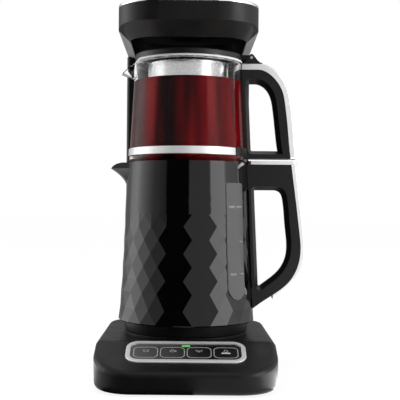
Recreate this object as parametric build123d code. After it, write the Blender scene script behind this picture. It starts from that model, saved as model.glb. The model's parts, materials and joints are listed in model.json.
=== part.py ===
"""Automatic tea maker: a base with a key panel, a column with a hinged head, a kettle and a teapot.

Millimetres, +Z up. The Z axis is the axis of the kettle and the teapot, and z = 0 is the surface
that the feet stand on. +X is the side of the two handles, and -Y is the front, with the key panel.
"""

from build123d import *
import os
from math import cos, radians, sin, tan

# ---------------------------------------------------------------- fits
GAP = 0.3            # between rigid pieces that sit side by side
RUNNING = 0.05       # radial play of a pin in the knuckle that turns on it
SCREW_FIT = 0.02     # radial play of a screw or a pressed pin in its hole
SCREW_R = 1.5
SCREW_HEAD_R = 2.8
SCREW_HEAD = 1.0
REACH = 600.0        # longer than any piece, for cutting tools

# ---------------------------------------------------------------- base
BASE_WIDTH = 181.4
BASE_FRONT = 125.0   # ahead of the kettle's axis
BASE_REAR = 128.0    # behind it
BASE_CORNER = 40.0
BASE_TOP = 45.0
BASE_WALL = 2.6
BASE_TOP_EDGE = 6.0
CREASE_R = 12.0          # between the slope and the flat top
BASE_LOW_EDGE = 7.0
BASE_DRAFT = 3.0         # degrees, of the sides' lower part
BASE_DRAFT_DROP = 1.4    # it starts this far below the slope's front edge
BASE_FRONT_HEIGHT = 23.4
PANEL_ANGLE = 20.0
FOOT_HEIGHT = 1.5
FOOT_R = 9.0
FOOT_X = 62.0
FOOT_FRONT = 88.0
FOOT_REAR = 102.0
COVER_THICKNESS = 1.7
COVER_INSET = 8.0
COVER_LEDGE = 3.0    # width of the ledge that the bottom cover is screwed against
LEDGE_THICKNESS = 1.4
BOSS_R = 4.0
BOSS_X = 72.0
BOSS_FRONT = 40.0
BOSS_REAR = 92.0
SCREW_LENGTH = 10.0

# ---------------------------------------------------------------- key panel, in the slope's own frame
PANEL_REACH = 39.9   # from the slope's lower edge to the panel's middle
PANEL_WIDTH = 118.0
PANEL_LENGTH = 41.0
PANEL_CORNER = 13.0
BEZEL_WIDTH = 4.5
BEZEL_RISE = 1.5
BEZEL_LIP = 3.2      # how far the bezel overlaps the housing round its hole
BEZEL_DEPTH = 5.0
BEZEL_LEDGE = 1.5
FASCIA_RISE = 0.4
FASCIA_THICKNESS = 2.4
KEY_WIDTH = 24.6
KEY_LENGTH = 21.4
KEY_CORNER = 6.0
KEY_PITCH = 26.2
KEY_DROP = 1.4       # the keys' row sits this far below the panel's middle
KEY_RISE = 0.3       # above the fascia
KEY_TRAVEL = 1.0
KEY_STEM_R = 2.2
KEY_NAMES = ("boil_key", "tea_key", "brew_key", "warm_key")
BOARD_DEPTH = 11.0
BOARD_THICKNESS = 1.6
BOARD_OVERHANG = 3.0  # of the board past the panel, at each end
BOARD_LENGTH = 26.0
SWITCH_SIZE = 8.0
SWITCH_HEIGHT = 5.0
LIGHT_WIDTH = 8.5
LIGHT_LENGTH = 4.0
LIGHT_RAISE = 12.3
POST_R = 2.6

# ---------------------------------------------------------------- kettle seat
SEAT_R = 65.4
SEAT_WIDTH = 7.0
SEAT_RISE = 3.0
CONNECTOR_R = 15.0
CONNECTOR_RISE = 6.0
CONNECTOR_DEPTH = 15.0
CONTACT_R = 4.0
CONTACT_WALL = 3.5
FLANGE_WIDTH = 4.0
FLANGE_THICKNESS = 2.0
COUPLING_Y = 38.0
COUPLING_R = 8.0
COUPLING_SPIGOT_R = 4.5
COUPLING_DEPTH = 30.0

# ---------------------------------------------------------------- water path
HOSE_R = 4.0
HOSE_BORE_R = 2.5
BARB_FIT = 0.05
BARB_LENGTH = 8.0
PUMP_R = 17.0
PUMP_HEIGHT = 28.0
WATER_LINE = 18.0    # height of the hose between coupling and pump
RISER_Y = 96.0
NOZZLE_R = 6.0
NOZZLE_LENGTH = 18.0

# ---------------------------------------------------------------- power parts
POWER_BOARD_WIDTH = 56.0
POWER_BOARD_LENGTH = 70.0
TRANSFORMER_HEIGHT = 15.0
RELAY_HEIGHT = 12.0
POWER_BOARD_X = 50.0
POWER_BOARD_Y = 20.0
POWER_BOARD_Z = 9.0
GLAND_X = 52.0
GLAND_Z = 20.0
GLAND_R = 7.0
GLAND_BORE_R = 3.6
GLAND_RISE = 4.0

# ---------------------------------------------------------------- column
COLUMN_FRONT = 80.0
COLUMN_REAR = 125.0
COLUMN_WALL = 3.0
COLUMN_CORNER = 5.0
COLUMN_BOSS_INSET = 16.8  # of the base screws from the column's sides
DUCTWAY = (44.0, 24.0)
BACK_COVER_MARGIN = 9.0
BACK_COVER_THICKNESS = 1.4
BACK_LEDGE = 6.0

# ---------------------------------------------------------------- head
HEAD_WIDTH = 141.6
HEAD_FRONT = 100.0
HEAD_CORNER = 42.0
DRUM_HEIGHT = 18.4
CHIN_HEIGHT = 10.6       # from the mouth's edge up to the drum
CHEEK_HEIGHT = 7.3       # from the mouth's edge up to the sides' lower edge
MOUTH_CLEARANCE = 6.8    # between the teapot's lid and the mouth
MOUTH_EDGE_WIDTH = 10.8  # how far the mouth lies in from the head's sides
MOUTH_FRONT = 70.0
MOUTH_REAR = 70.0
MOUTH_CORNER = 30.0
HEAD_WALL = 2.4
HEAD_TRIM_HEIGHT = 3.2
HEAD_TRIM_WIDTH = 5.0
HEAD_TRIM_EDGE = 1.5
HEAD_PANEL_RISE = 2.4    # the top panel inside the trim, above the drum's edge
SEAM_OUTER_Y = 60.0      # the seam between chin and cheeks, ahead of the axis
SEAM_INNER_Y = 37.0
HEAD_BOSS_INSET = 24.8   # of the head's screws from its sides
HEAD_BOSS_FRONT = 84.0
HEAD_BOSS_REAR = 107.0
LINER_WALL = 2.0
LINER_DEPTH = 18.0       # of the recess above the mouth's edge
SHOWER_R = 22.0
SHOWER_THICKNESS = 6.0
SHOWER_HOLES = 12
SHOWER_HOLE_R = 1.0
DUCT_WIDTH = 13.0
DUCT_HEIGHT = 6.0
DUCT_WALL = 1.5

# ---------------------------------------------------------------- head hinge
HINGE_Y = 118.0
HINGE_LIFT = 3.4         # of the hinge above the drum's lower edge
EAR_R = 7.0
EAR_WIDTH = 6.5
EAR_CLEARANCE = 0.6
HINGE_PIN_R = 2.5
KNUCKLE_WIDTH = 6.0
HEEL_CLEARANCE = 2.5
COLUMN_CLEARANCE = 8.0   # between the column's top and the hinge's axis
EAR_PROUD = 1.0          # how far the ears stand past the head's sides

# ---------------------------------------------------------------- kettle
KETTLE_HEIGHT = 167.7
KETTLE_RADII = (73.0, 68.8, 66.6, 64.0)   # evenly spaced from the bottom to the rim
KETTLE_STATIONS = 7
KETTLE_WALL = 2.0
KETTLE_CHAMFER = 1.2
FACETS = 24              # diamonds round the kettle
FACET_LIFTS = (15.4, 32.2, 45.6, 59.6, 73.2, 87.0, 100.7)   # their corners' rings above the bottom
FACET_FADE = 12.3        # above them, the wall turns smooth over this height
FACET_TURN = 4.6         # the lowest ring's first corner, from the front towards the handle
PLINTH_HEIGHT = 11.0
PLINTH_LOW_R = 64.0
PLINTH_TOP_R = 66.0
PLINTH_WALL = 2.4
HEATER_R = 52.0
HEATER_THICKNESS = 4.0
SOCKET_R = 19.6
SOCKET_COVER = 4.0       # how far the socket rises above the connector in it
SOCKET_BORE_R = 15.8
VALVE_R = 7.0
VALVE_BORE_R = 5.0
MOUTH_RING_HEIGHT = 11.0
MOUTH_RING_R = 50.0
NEST_DEPTH = 4.0
NEST_R = 57.8
KETTLE_SPOUT_REACH = 82.4
KETTLE_SPOUT_DROP = 6.2  # of its tip below the rim
KETTLE_SPOUT_DEPTH = 26.0
KETTLE_SPOUT_HALF_ANGLE = 31.0
KETTLE_LIP_R = 5.0       # of the rounding along its keel
KETTLE_SPOUT_STATIONS = 5
KETTLE_SPOUT_FLARE = 1.9 # how suddenly its keel turns outwards
KETTLE_NOSE = ((8.6, 5.6), (2.8, 3.0))   # its upper line: distance in from the tip, height above it
GAUGE_ANGLE = 48.5       # from the front towards the handle
GAUGE_WIDTH = 26.5
GAUGE_LIFT = 25.7        # of its lower end above the kettle's bottom
GAUGE_DROP = 22.0        # of its upper end below the rim
GAUGE_CORNER = 3.5       # at its upper end; the lower end is round
GAUGE_RISE = 0.8

# ---------------------------------------------------------------- teapot
GLASS_WALL = 2.0
GLASS_FOOT_R = 57.2
GLASS_FOOT_LIFT = 0.3
GLASS_SHOULDER_LIFT = 1.3   # above the kettle's rim
GLASS_LOW_R = 62.8
GLASS_HIGH_R = 58.2
GLASS_BODY_HEIGHT = 83.7
GLASS_NECK_HEIGHT = 24.0
GLASS_RIM_R = 58.4
GLASS_FLOOR = 2.6
TEAPOT_SPOUT_REACH = 71.6
TEAPOT_SPOUT_DROP = 14.0  # of its tip below the rim
TEAPOT_SPOUT_DEPTH = 19.5
TEAPOT_SPOUT_HALF_ANGLE = 48.0
TEAPOT_DIP_START = 52.0  # where the rim begins to dip towards the spout
BAND_LIFT = 5.8          # above the glass's shoulder
BAND_HEIGHT = 7.5
BAND_THICKNESS = 1.2
YOKE_THICKNESS = 2.2     # of the grip's yoke that holds the band's two ends
YOKE_HALF_ANGLE = 38.0
YOKE_MARGIN = 1.0        # above and below the band
TEA_DROP = 23.0          # of the tea below the rim
BASKET_R = 43.0
BASKET_WALL = 0.8
BASKET_DROP = 4.0        # below the rim
BASKET_DEPTH = 68.0
BASKET_FLANGE = 3.5
BASKET_ARM_WIDTH = 8.0
BASKET_ARM_ANGLES = (90.0, 205.0, 335.0)

# ---------------------------------------------------------------- lid and its hinge
LID_R = 56.8
LID_HEIGHT = 6.9
LID_WALL = 2.0
LID_SKIRT_R = 54.0
LID_SKIRT_DEPTH = 3.6
LID_FUNNEL_R = 9.0
SEAL_R = 55.4
SEAL_HEIGHT = 2.4
LID_HINGE_X = 67.5
LID_HINGE_LIFT = 3.7     # above the lid's underside
LID_PIN_R = 1.5
BARREL_R = 3.2
BARREL_HALF_WIDTH = 8.7
BRACKET_HALF_WIDTH = 12.5
BRACKET_OUTLINE = (      # distance from the axis, height above the teapot's grip
    (60.0, 0.0), (63.6, 6.4), (67.5, 9.7), (71.0, 6.8), (74.2, 2.7), (79.0, 0.0),
)

# ---------------------------------------------------------------- handles
GRIP_ROOT = 50.0         # the grips' outlines start here, inside the walls that trim them
GRIP_HALF_WIDTH = 12.0
TRIM_EDGE = 1.5
HOLE_FLARE = 4.0         # of the grips' holes, at either face
HOLE_FLARE_DEPTH = 9.0
HOLE_CORNER = 1.5
TRIM_END = 92.5          # where the kettle's trim stops, on the underside of its grip
LEG_STANDOFF = 1.2       # between the kettle's wall and the free stretch of its grip's leg
BAR_THICKNESS = 3.7
BAR_END = 116.4
BAR_CORNER = 3.5
HANDLE_SCREW_DEPTH = 12.0

# Outlines of the grips as (distance outwards from the axis, height above the kettle's rim).
KETTLE_GRIP_OUTER = (
    (116.4, -1.0), (121.2, -42.0), (125.0, -73.5), (126.3, -89.0), (126.0, -101.0),
    (123.2, -112.6), (115.0, -124.9), (104.8, -135.4), (92.9, -144.4), (72.0, -158.5),
)
KETTLE_TRIM_INNER = (
    (111.0, -1.0), (116.4, -42.0), (120.2, -73.5), (121.6, -89.0), (121.2, -98.0),
    (118.7, -109.6), (110.3, -125.0), (92.8, -139.6), (71.3, -154.6),
)
KETTLE_HOLE_CURVE = (
    (93.5, -28.1), (100.4, -31.4), (103.0, -39.3), (105.7, -66.3), (107.7, -88.0),
    (106.2, -100.5), (98.3, -115.0), (86.0, -125.6), (77.0, -132.5),
)
KETTLE_HOLE_CORNERS = ((71.9, -28.1),)
TEAPOT_GRIP_OUTER = (
    (78.8, 107.2), (88.4, 103.4), (96.0, 97.0), (101.8, 89.3), (106.0, 81.5),
    (109.2, 69.5), (113.2, 38.1), (116.3, 5.6),
)
TEAPOT_TRIM_INNER = (
    (76.0, 100.2), (86.0, 96.3), (92.2, 90.8), (97.2, 84.4), (101.0, 76.6),
    (103.6, 64.5), (107.0, 35.5), (110.1, 5.6),
)
TEAPOT_HOLE_CURVE = (
    (73.0, 86.4), (78.2, 84.9), (82.8, 81.7), (86.4, 77.2), (89.6, 69.5),
    (91.6, 58.5), (93.9, 38.9), (97.1, 14.0),
)
TEAPOT_HOLE_CORNERS = ((68.0, 14.0), (64.6, 86.4))

# ---------------------------------------------------------------- heights and places that follow
HOUSING_LOW = FOOT_HEIGHT
DRAFT_TOP = BASE_FRONT_HEIGHT - BASE_DRAFT_DROP
COVER_TOP = HOUSING_LOW + COVER_THICKNESS
CAVITY_LOW = COVER_TOP + LEDGE_THICKNESS
BASE_INNER_TOP = BASE_TOP - BASE_WALL
SEAT_TOP = BASE_TOP + SEAT_RISE
KETTLE_FOOT = SEAT_TOP + GAP
KETTLE_BOTTOM = KETTLE_FOOT + PLINTH_HEIGHT
KETTLE_RIM = KETTLE_BOTTOM + KETTLE_HEIGHT
FACET_HIGH = KETTLE_BOTTOM + FACET_LIFTS[-1]
FACET_END = FACET_HIGH + FACET_FADE
SOCKET_TOP = BASE_TOP + CONNECTOR_RISE + SOCKET_COVER
KETTLE_SPOUT_TIP = KETTLE_RIM - KETTLE_SPOUT_DROP
KETTLE_SPOUT_ROOT = KETTLE_RIM - KETTLE_SPOUT_DEPTH
GAUGE_LOW = KETTLE_BOTTOM + GAUGE_LIFT
GAUGE_HIGH = KETTLE_RIM - GAUGE_DROP
NEST_Z = KETTLE_RIM - NEST_DEPTH
GLASS_BOTTOM = NEST_Z + GLASS_FOOT_LIFT
GLASS_SHOULDER = KETTLE_RIM + GLASS_SHOULDER_LIFT
GLASS_NECK = GLASS_SHOULDER + GLASS_BODY_HEIGHT
GLASS_RIM = GLASS_NECK + GLASS_NECK_HEIGHT
TEAPOT_SPOUT_TIP = GLASS_RIM - TEAPOT_SPOUT_DROP
TEAPOT_SPOUT_ROOT = GLASS_RIM - TEAPOT_SPOUT_DEPTH
BAND_LOW = GLASS_SHOULDER + BAND_LIFT
BAND_HIGH = BAND_LOW + BAND_HEIGHT
TEA_LEVEL = GLASS_RIM - TEA_DROP
BASKET_TOP = GLASS_RIM - BASKET_DROP
BASKET_FLOOR = BASKET_TOP - BASKET_DEPTH
LID_BOTTOM = GLASS_RIM + GAP
LID_TOP = LID_BOTTOM + LID_HEIGHT
LID_HINGE_Z = LID_BOTTOM + LID_HINGE_LIFT
KETTLE_GRIP_TOP = KETTLE_RIM - 1
TEAPOT_GRIP_TOP = KETTLE_RIM + TEAPOT_GRIP_OUTER[0][1]
KETTLE_HOLE_TOP = KETTLE_RIM + KETTLE_HOLE_CURVE[0][1]
KETTLE_HOLE_LOW = KETTLE_RIM + KETTLE_HOLE_CURVE[-1][1]
KETTLE_GRIP_LOW = KETTLE_RIM + KETTLE_TRIM_INNER[-1][1]
MOUTH_Z = LID_TOP + MOUTH_CLEARANCE
CHEEK_EDGE = MOUTH_Z + CHEEK_HEIGHT
HEAD_PARTING = MOUTH_Z + CHIN_HEIGHT
HEAD_TOP = HEAD_PARTING + DRUM_HEIGHT
LINER_CEILING = MOUTH_Z + LINER_DEPTH
MOUTH_HALF_WIDTH = HEAD_WIDTH / 2 - MOUTH_EDGE_WIDTH
HEAD_BOSS_X = HEAD_WIDTH / 2 - HEAD_BOSS_INSET
HINGE_Z = HEAD_PARTING + HINGE_LIFT
COLUMN_TOP = HINGE_Z - COLUMN_CLEARANCE
COLUMN_WIDTH = HEAD_WIDTH + 2 * EAR_PROUD
COLUMN_BOSS_X = COLUMN_WIDTH / 2 - COLUMN_BOSS_INSET
BOARD_WIDTH = PANEL_WIDTH + 2 * BOARD_OVERHANG
HEAD_REAR = COLUMN_REAR
EAR_INNER = COLUMN_WIDTH / 2 - EAR_WIDTH
TONGUE_HALF_WIDTH = EAR_INNER - EAR_CLEARANCE
NOTCH_Y = HINGE_Y - EAR_R - HEEL_CLEARANCE
SLOPE = Location((0, -BASE_FRONT, BASE_FRONT_HEIGHT), (PANEL_ANGLE, 0, 0))
PANEL = SLOPE * Pos(0, PANEL_REACH, 0)
UP = (Align.CENTER, Align.CENTER, Align.MIN)
FRONT_HALF = (Align.CENTER, Align.MAX, Align.CENTER)


# ---------------------------------------------------------------- shared shapes
def slab(outline, low, high):
    """A plan outline raised between two heights."""
    return Pos(0, 0, low) * extrude(outline, high - low)


def post(radius, low, high, x=0.0, y=0.0):
    """An upright round post."""
    return Pos(x, y, low) * Cylinder(radius, high - low, align=UP)


def tube(outer, inner, low, high, x=0.0, y=0.0):
    return post(outer, low, high, x, y) - post(inner, low, high, x, y)


def level(low, high):
    """Everything between two heights."""
    return Pos(0, 0, low) * Box(REACH, REACH, high - low, align=UP)


def cross_rod(radius, start, end, y, z):
    """A round rod along X."""
    return Pos(start, y, z) * Rot(0, 90, 0) * Cylinder(radius, end - start, align=UP)


def fore_rod(radius, start, end, x, z):
    """A round rod along Y."""
    return Pos(x, start, z) * Rot(-90, 0, 0) * Cylinder(radius, end - start, align=UP)


def turned(points):
    """A closed (radius, height) outline turned about the Z axis."""
    return revolve(Plane.XZ * make_face(Polyline(*points, close=True)), Axis.Z)


def side_plate(outline, half_width):
    """An outline in the XZ plane, thickened evenly to both sides."""
    return extrude(Plane.XZ * outline, half_width, both=True)


def screw(x, y, seat, length):
    """An upright screw whose head is below seat."""
    return post(SCREW_R, seat, seat + length, x, y) + post(SCREW_HEAD_R, seat - SCREW_HEAD, seat, x, y)


# ---------------------------------------------------------------- base
def base_plan(inset):
    length = BASE_FRONT + BASE_REAR
    middle = (BASE_REAR - BASE_FRONT) / 2
    outline = RectangleRounded(BASE_WIDTH - 2 * inset, length - 2 * inset, BASE_CORNER - inset)
    return Pos(0, middle) * outline


def above_slope(inset):
    return SLOPE * Pos(0, 0, -inset) * Box(REACH, REACH, REACH, align=UP)


def base_form(inset, low):
    """The base's shape from low upwards, its sides drawn in below DRAFT_TOP."""
    low_part = Pos(0, 0, DRAFT_TOP) * extrude(base_plan(inset), low - DRAFT_TOP, taper=BASE_DRAFT)
    return low_part + slab(base_plan(inset), DRAFT_TOP, BASE_TOP - inset) - above_slope(inset)


def base_outside():
    form = base_form(0, HOUSING_LOW)
    low_edges = form.edges().filter_by_position(Axis.Z, HOUSING_LOW, HOUSING_LOW)
    form = fillet(low_edges, BASE_LOW_EDGE)
    rims = (form.faces().sort_by(Axis.Z)[-1], form.faces().filter_by(Plane(SLOPE))[0])
    rim_edges = rims[0].edges() + rims[1].edges()
    form = fillet([e for e in rim_edges if not is_crease(e)], BASE_TOP_EDGE)
    return fillet([e for e in form.edges() if is_crease(e)], CREASE_R)


def is_crease(edge):
    """True for the straight edge between the slope and the flat top."""
    crease_y = (BASE_TOP - BASE_FRONT_HEIGHT) / tan(radians(PANEL_ANGLE)) - BASE_FRONT
    middle = edge @ 0.5
    return abs(middle.X) < 1 and abs(middle.Y - crease_y) < 1


def base_boss_places():
    return [(side * BOSS_X, y) for side in (-1, 1) for y in (-BOSS_FRONT, BOSS_REAR)]


def column_boss_places():
    inner = COLUMN_WALL + BOSS_R
    return [
        (side * COLUMN_BOSS_X, y)
        for side in (-1, 1)
        for y in (COLUMN_FRONT + inner, COLUMN_REAR - inner)
    ]


def panel_shape(inset, low, high):
    """The panel's rounded rectangle, in place on the slope."""
    outline = RectangleRounded(
        PANEL_WIDTH - 2 * inset, PANEL_LENGTH - 2 * inset, PANEL_CORNER - inset
    )
    return PANEL * slab(outline, low, high)


def ductway():
    """The passage for hose and wires between base and column."""
    middle = (COLUMN_FRONT + COLUMN_REAR) / 2
    return Pos(0, middle, BASE_INNER_TOP) * Box(*DUCTWAY, REACH / 20, align=UP)


def base_housing():
    shell = base_outside() - base_form(BASE_WALL, CAVITY_LOW)
    shell -= slab(base_plan(COVER_INSET + COVER_LEDGE), 0, CAVITY_LOW)
    shell -= slab(base_plan(COVER_INSET), 0, COVER_TOP)
    for x, y in base_boss_places():
        shell += post(BOSS_R, COVER_TOP, BASE_INNER_TOP, x, y)
        shell -= post(SCREW_R + SCREW_FIT, COVER_TOP, HOUSING_LOW + SCREW_LENGTH + 1, x, y)
    for x, y in column_boss_places():
        shell -= post(SCREW_R + SCREW_FIT, BASE_INNER_TOP, BASE_TOP, x, y)
    for x, y in board_post_places():
        shell += PANEL * post(POST_R, -BOARD_DEPTH, -BASE_WALL, x, y)
        shell -= PANEL * post(SCREW_R + SCREW_FIT, -BOARD_DEPTH, -BASE_WALL - 1, x, y)
    shell -= panel_shape(BEZEL_LIP, -BEZEL_DEPTH, BEZEL_DEPTH)
    shell -= post(CONNECTOR_R + GAP, BASE_INNER_TOP - 1, BASE_TOP + 1)
    shell -= post(COUPLING_R + GAP, BASE_INNER_TOP - 1, BASE_TOP + 1, 0, COUPLING_Y)
    shell -= fore_rod(GLAND_R, BASE_REAR - 2 * BASE_WALL, BASE_REAR + 1, GLAND_X, GLAND_Z)
    return shell - ductway()


def base_bottom_cover():
    cover = slab(base_plan(COVER_INSET + GAP), HOUSING_LOW, COVER_TOP)
    for x, y in base_boss_places():
        cover -= post(SCREW_R + SCREW_FIT, HOUSING_LOW, COVER_TOP, x, y)
    return cover


def base_feet():
    """One at each corner, and one in the middle that carries the kettle."""
    places = [(side * FOOT_X, y) for side in (-1, 1) for y in (-FOOT_FRONT, FOOT_REAR)]
    return [post(FOOT_R, 0, FOOT_HEIGHT, x, y) for x, y in places + [(0, 0)]]


def base_screws():
    return [screw(x, y, HOUSING_LOW, SCREW_LENGTH) for x, y in base_boss_places()]


def column_screws():
    return [screw(x, y, BASE_INNER_TOP, SCREW_LENGTH) for x, y in column_boss_places()]


# ---------------------------------------------------------------- key panel
def key_places():
    first = -KEY_PITCH * (len(KEY_NAMES) - 1) / 2
    return [(first + n * KEY_PITCH, -KEY_DROP) for n in range(len(KEY_NAMES))]


def key_outline(grow):
    return RectangleRounded(KEY_WIDTH + 2 * grow, KEY_LENGTH + 2 * grow, KEY_CORNER + grow)


def light_outline(grow):
    radius = LIGHT_LENGTH / 2 + grow
    return RectangleRounded(LIGHT_WIDTH + 2 * grow, LIGHT_LENGTH + 2 * grow, radius * 0.98)


def board_post_places():
    inset = POST_R + 1.0
    x = BOARD_WIDTH / 2 - inset
    y = BOARD_LENGTH / 2 - inset
    return [(side * x, end * y) for side in (-1, 1) for end in (-1, 1)]


def panel_bezel():
    bezel = panel_shape(0, 0, BEZEL_RISE)
    top = bezel.faces().filter_by(Plane(PANEL)).sort_by(Axis.Z)[-1]
    bezel = fillet(top.edges(), BEZEL_RISE * 0.6)
    bezel += panel_shape(BEZEL_LIP + GAP, -BEZEL_DEPTH, 0)
    bezel -= panel_shape(BEZEL_WIDTH + BEZEL_LEDGE, -BEZEL_DEPTH, BEZEL_RISE)
    return bezel - panel_shape(BEZEL_WIDTH, FASCIA_RISE - FASCIA_THICKNESS, BEZEL_RISE)


def panel_plate():
    low = FASCIA_RISE - FASCIA_THICKNESS
    plate = panel_shape(BEZEL_WIDTH + GAP / 2, low, FASCIA_RISE)
    for x, y in key_places():
        plate -= PANEL * Pos(x, y) * slab(key_outline(GAP / 2), low, FASCIA_RISE)
    return plate - PANEL * Pos(0, LIGHT_RAISE) * slab(light_outline(GAP / 2), low, FASCIA_RISE)


def status_light():
    lens = slab(light_outline(0), FASCIA_RISE - FASCIA_THICKNESS, FASCIA_RISE)
    guide = post(LIGHT_LENGTH / 4, -BOARD_DEPTH, FASCIA_RISE - FASCIA_THICKNESS)
    return PANEL * Pos(0, LIGHT_RAISE) * (lens + guide)


def key(place):
    top = FASCIA_RISE + KEY_RISE
    cap = slab(key_outline(0), FASCIA_RISE - FASCIA_THICKNESS, top)
    cap = fillet(cap.faces().sort_by(Axis.Z)[-1].edges(), KEY_RISE * 0.8)
    stem_end = -BOARD_DEPTH + KEY_TRAVEL + 2 * GAP
    return PANEL * Pos(*place) * (cap + post(KEY_STEM_R, stem_end, FASCIA_RISE - FASCIA_THICKNESS))


def key_switches():
    body = Pos(0, 0, -BOARD_DEPTH) * Box(SWITCH_SIZE, SWITCH_SIZE, SWITCH_HEIGHT, align=UP)
    body -= post(KEY_STEM_R + GAP, -BOARD_DEPTH + GAP, SWITCH_HEIGHT - BOARD_DEPTH)
    return [PANEL * Pos(*place) * body for place in key_places()]


def control_board():
    under = -BOARD_DEPTH - BOARD_THICKNESS
    board = PANEL * Pos(0, 0, under) * Box(BOARD_WIDTH, BOARD_LENGTH, BOARD_THICKNESS, align=UP)
    for x, y in board_post_places():
        board -= PANEL * post(SCREW_R + SCREW_FIT, under, -BOARD_DEPTH, x, y)
    return board


def board_screws():
    under = -BOARD_DEPTH - BOARD_THICKNESS
    length = BOARD_THICKNESS + BOARD_DEPTH / 2
    return [PANEL * screw(x, y, under, length) for x, y in board_post_places()]


# ---------------------------------------------------------------- kettle seat and power parts
def seat_ring():
    ring = tube(SEAT_R, SEAT_R - SEAT_WIDTH, BASE_TOP, SEAT_TOP)
    return fillet(ring.faces().sort_by(Axis.Z)[-1].edges(), SEAT_RISE / 3)


def base_connector():
    top = BASE_TOP + CONNECTOR_RISE
    low = BASE_TOP - CONNECTOR_DEPTH
    body = post(CONNECTOR_R, low, top)
    body += post(CONNECTOR_R + FLANGE_WIDTH, BASE_INNER_TOP - FLANGE_THICKNESS, BASE_INNER_TOP)
    body -= tube(CONNECTOR_R - CONTACT_WALL, CONTACT_R, BASE_TOP, top)
    return body - post(CONTACT_R / 3, BASE_TOP, top)


def water_coupling():
    low = BASE_TOP - COUPLING_DEPTH
    body = post(COUPLING_R, low, BASE_TOP)
    body += post(COUPLING_R + FLANGE_WIDTH, BASE_INNER_TOP - FLANGE_THICKNESS, BASE_INNER_TOP)
    body += post(COUPLING_SPIGOT_R, BASE_TOP, BASE_TOP + CONNECTOR_RISE)
    body = Pos(0, COUPLING_Y, 0) * body
    barb_end = COUPLING_Y + COUPLING_R + BARB_LENGTH
    body += fore_rod(HOSE_BORE_R - BARB_FIT, COUPLING_Y, barb_end, 0, WATER_LINE)
    body -= post(COUPLING_SPIGOT_R / 2, WATER_LINE, BASE_TOP + CONNECTOR_RISE, 0, COUPLING_Y)
    return body - fore_rod(HOSE_BORE_R / 2, COUPLING_Y, barb_end, 0, WATER_LINE)


def pump():
    top = COVER_TOP + PUMP_HEIGHT
    body = post(PUMP_R, COVER_TOP, top, 0, RISER_Y)
    body += post(HOSE_BORE_R - BARB_FIT, top, top + BARB_LENGTH, 0, RISER_Y)
    front = RISER_Y - PUMP_R
    body += fore_rod(HOSE_BORE_R - BARB_FIT, front - BARB_LENGTH, RISER_Y, 0, WATER_LINE)
    body -= fore_rod(HOSE_BORE_R / 2, front - BARB_LENGTH, RISER_Y, 0, WATER_LINE)
    return body - post(HOSE_BORE_R / 2, WATER_LINE, top + BARB_LENGTH, 0, RISER_Y)


def inlet_hose():
    start = COUPLING_Y + COUPLING_R + GAP
    end = RISER_Y - PUMP_R - GAP
    outside = fore_rod(HOSE_R, start, end, 0, WATER_LINE)
    return outside - fore_rod(HOSE_BORE_R, start, end, 0, WATER_LINE)


def riser_hose():
    low = COVER_TOP + PUMP_HEIGHT + GAP
    high = COLUMN_TOP - NOZZLE_LENGTH - GAP
    return tube(HOSE_R, HOSE_BORE_R, low, high, 0, RISER_Y)


def riser_nozzle():
    low = COLUMN_TOP - NOZZLE_LENGTH
    body = post(NOZZLE_R, low, COLUMN_TOP + GAP, 0, RISER_Y)
    flange_top = COLUMN_TOP - COLUMN_WALL
    body += post(NOZZLE_R + FLANGE_WIDTH, flange_top - FLANGE_THICKNESS, flange_top, 0, RISER_Y)
    body += post(HOSE_BORE_R - BARB_FIT, low - BARB_LENGTH, low, 0, RISER_Y)
    return body - post(HOSE_BORE_R / 2, low - BARB_LENGTH, COLUMN_TOP + GAP, 0, RISER_Y)


def power_board():
    width = POWER_BOARD_WIDTH
    length = POWER_BOARD_LENGTH
    parts = Box(width, length, BOARD_THICKNESS, align=UP)
    relay = Box(width / 3, length / 4, BOARD_THICKNESS + RELAY_HEIGHT, align=UP)
    transformer = Box(width / 3, length / 3, BOARD_THICKNESS + TRANSFORMER_HEIGHT, align=UP)
    parts += Pos(-width / 4, -length / 4) * relay
    parts += Pos(width / 5, length / 5) * transformer
    for side in (-1, 1):
        for end in (-1, 1):
            x = side * (width / 2 - POST_R)
            parts += post(POST_R, COVER_TOP - POWER_BOARD_Z, 0, x, end * (length / 2 - POST_R))
    return Pos(POWER_BOARD_X, POWER_BOARD_Y, POWER_BOARD_Z) * parts


def cord_gland():
    inner = BASE_REAR - BASE_WALL
    gland = fore_rod(GLAND_R - SCREW_FIT, inner - GLAND_RISE, BASE_REAR + GLAND_RISE, GLAND_X, GLAND_Z)
    gland += fore_rod(GLAND_R + FLANGE_THICKNESS, BASE_REAR, BASE_REAR + FLANGE_THICKNESS, GLAND_X, GLAND_Z)
    bore = fore_rod(GLAND_BORE_R, inner - GLAND_RISE, BASE_REAR + GLAND_RISE, GLAND_X, GLAND_Z)
    return gland - bore


# ---------------------------------------------------------------- column
def column_plan(inset):
    depth = COLUMN_REAR - COLUMN_FRONT
    radius = max(COLUMN_CORNER - inset, 0.8)
    outline = RectangleRounded(COLUMN_WIDTH - 2 * inset, depth - 2 * inset, radius)
    return Pos(0, (COLUMN_FRONT + COLUMN_REAR) / 2) * outline


def back_opening(margin, depth):
    """A cut into the column's back, margin inside its outline."""
    width = COLUMN_WIDTH - 2 * margin
    low = BASE_TOP + margin
    height = COLUMN_TOP - margin - low
    size = Box(width, depth, height, align=(Align.CENTER, Align.MAX, Align.MIN))
    return Pos(0, COLUMN_REAR, low) * size


def back_screw_places():
    margin = BACK_COVER_MARGIN + BACK_LEDGE / 2
    x = COLUMN_WIDTH / 2 - margin
    return [(side * x, z) for side in (-1, 1) for z in (BASE_TOP + 2 * margin, COLUMN_TOP - 2 * margin)]


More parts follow.
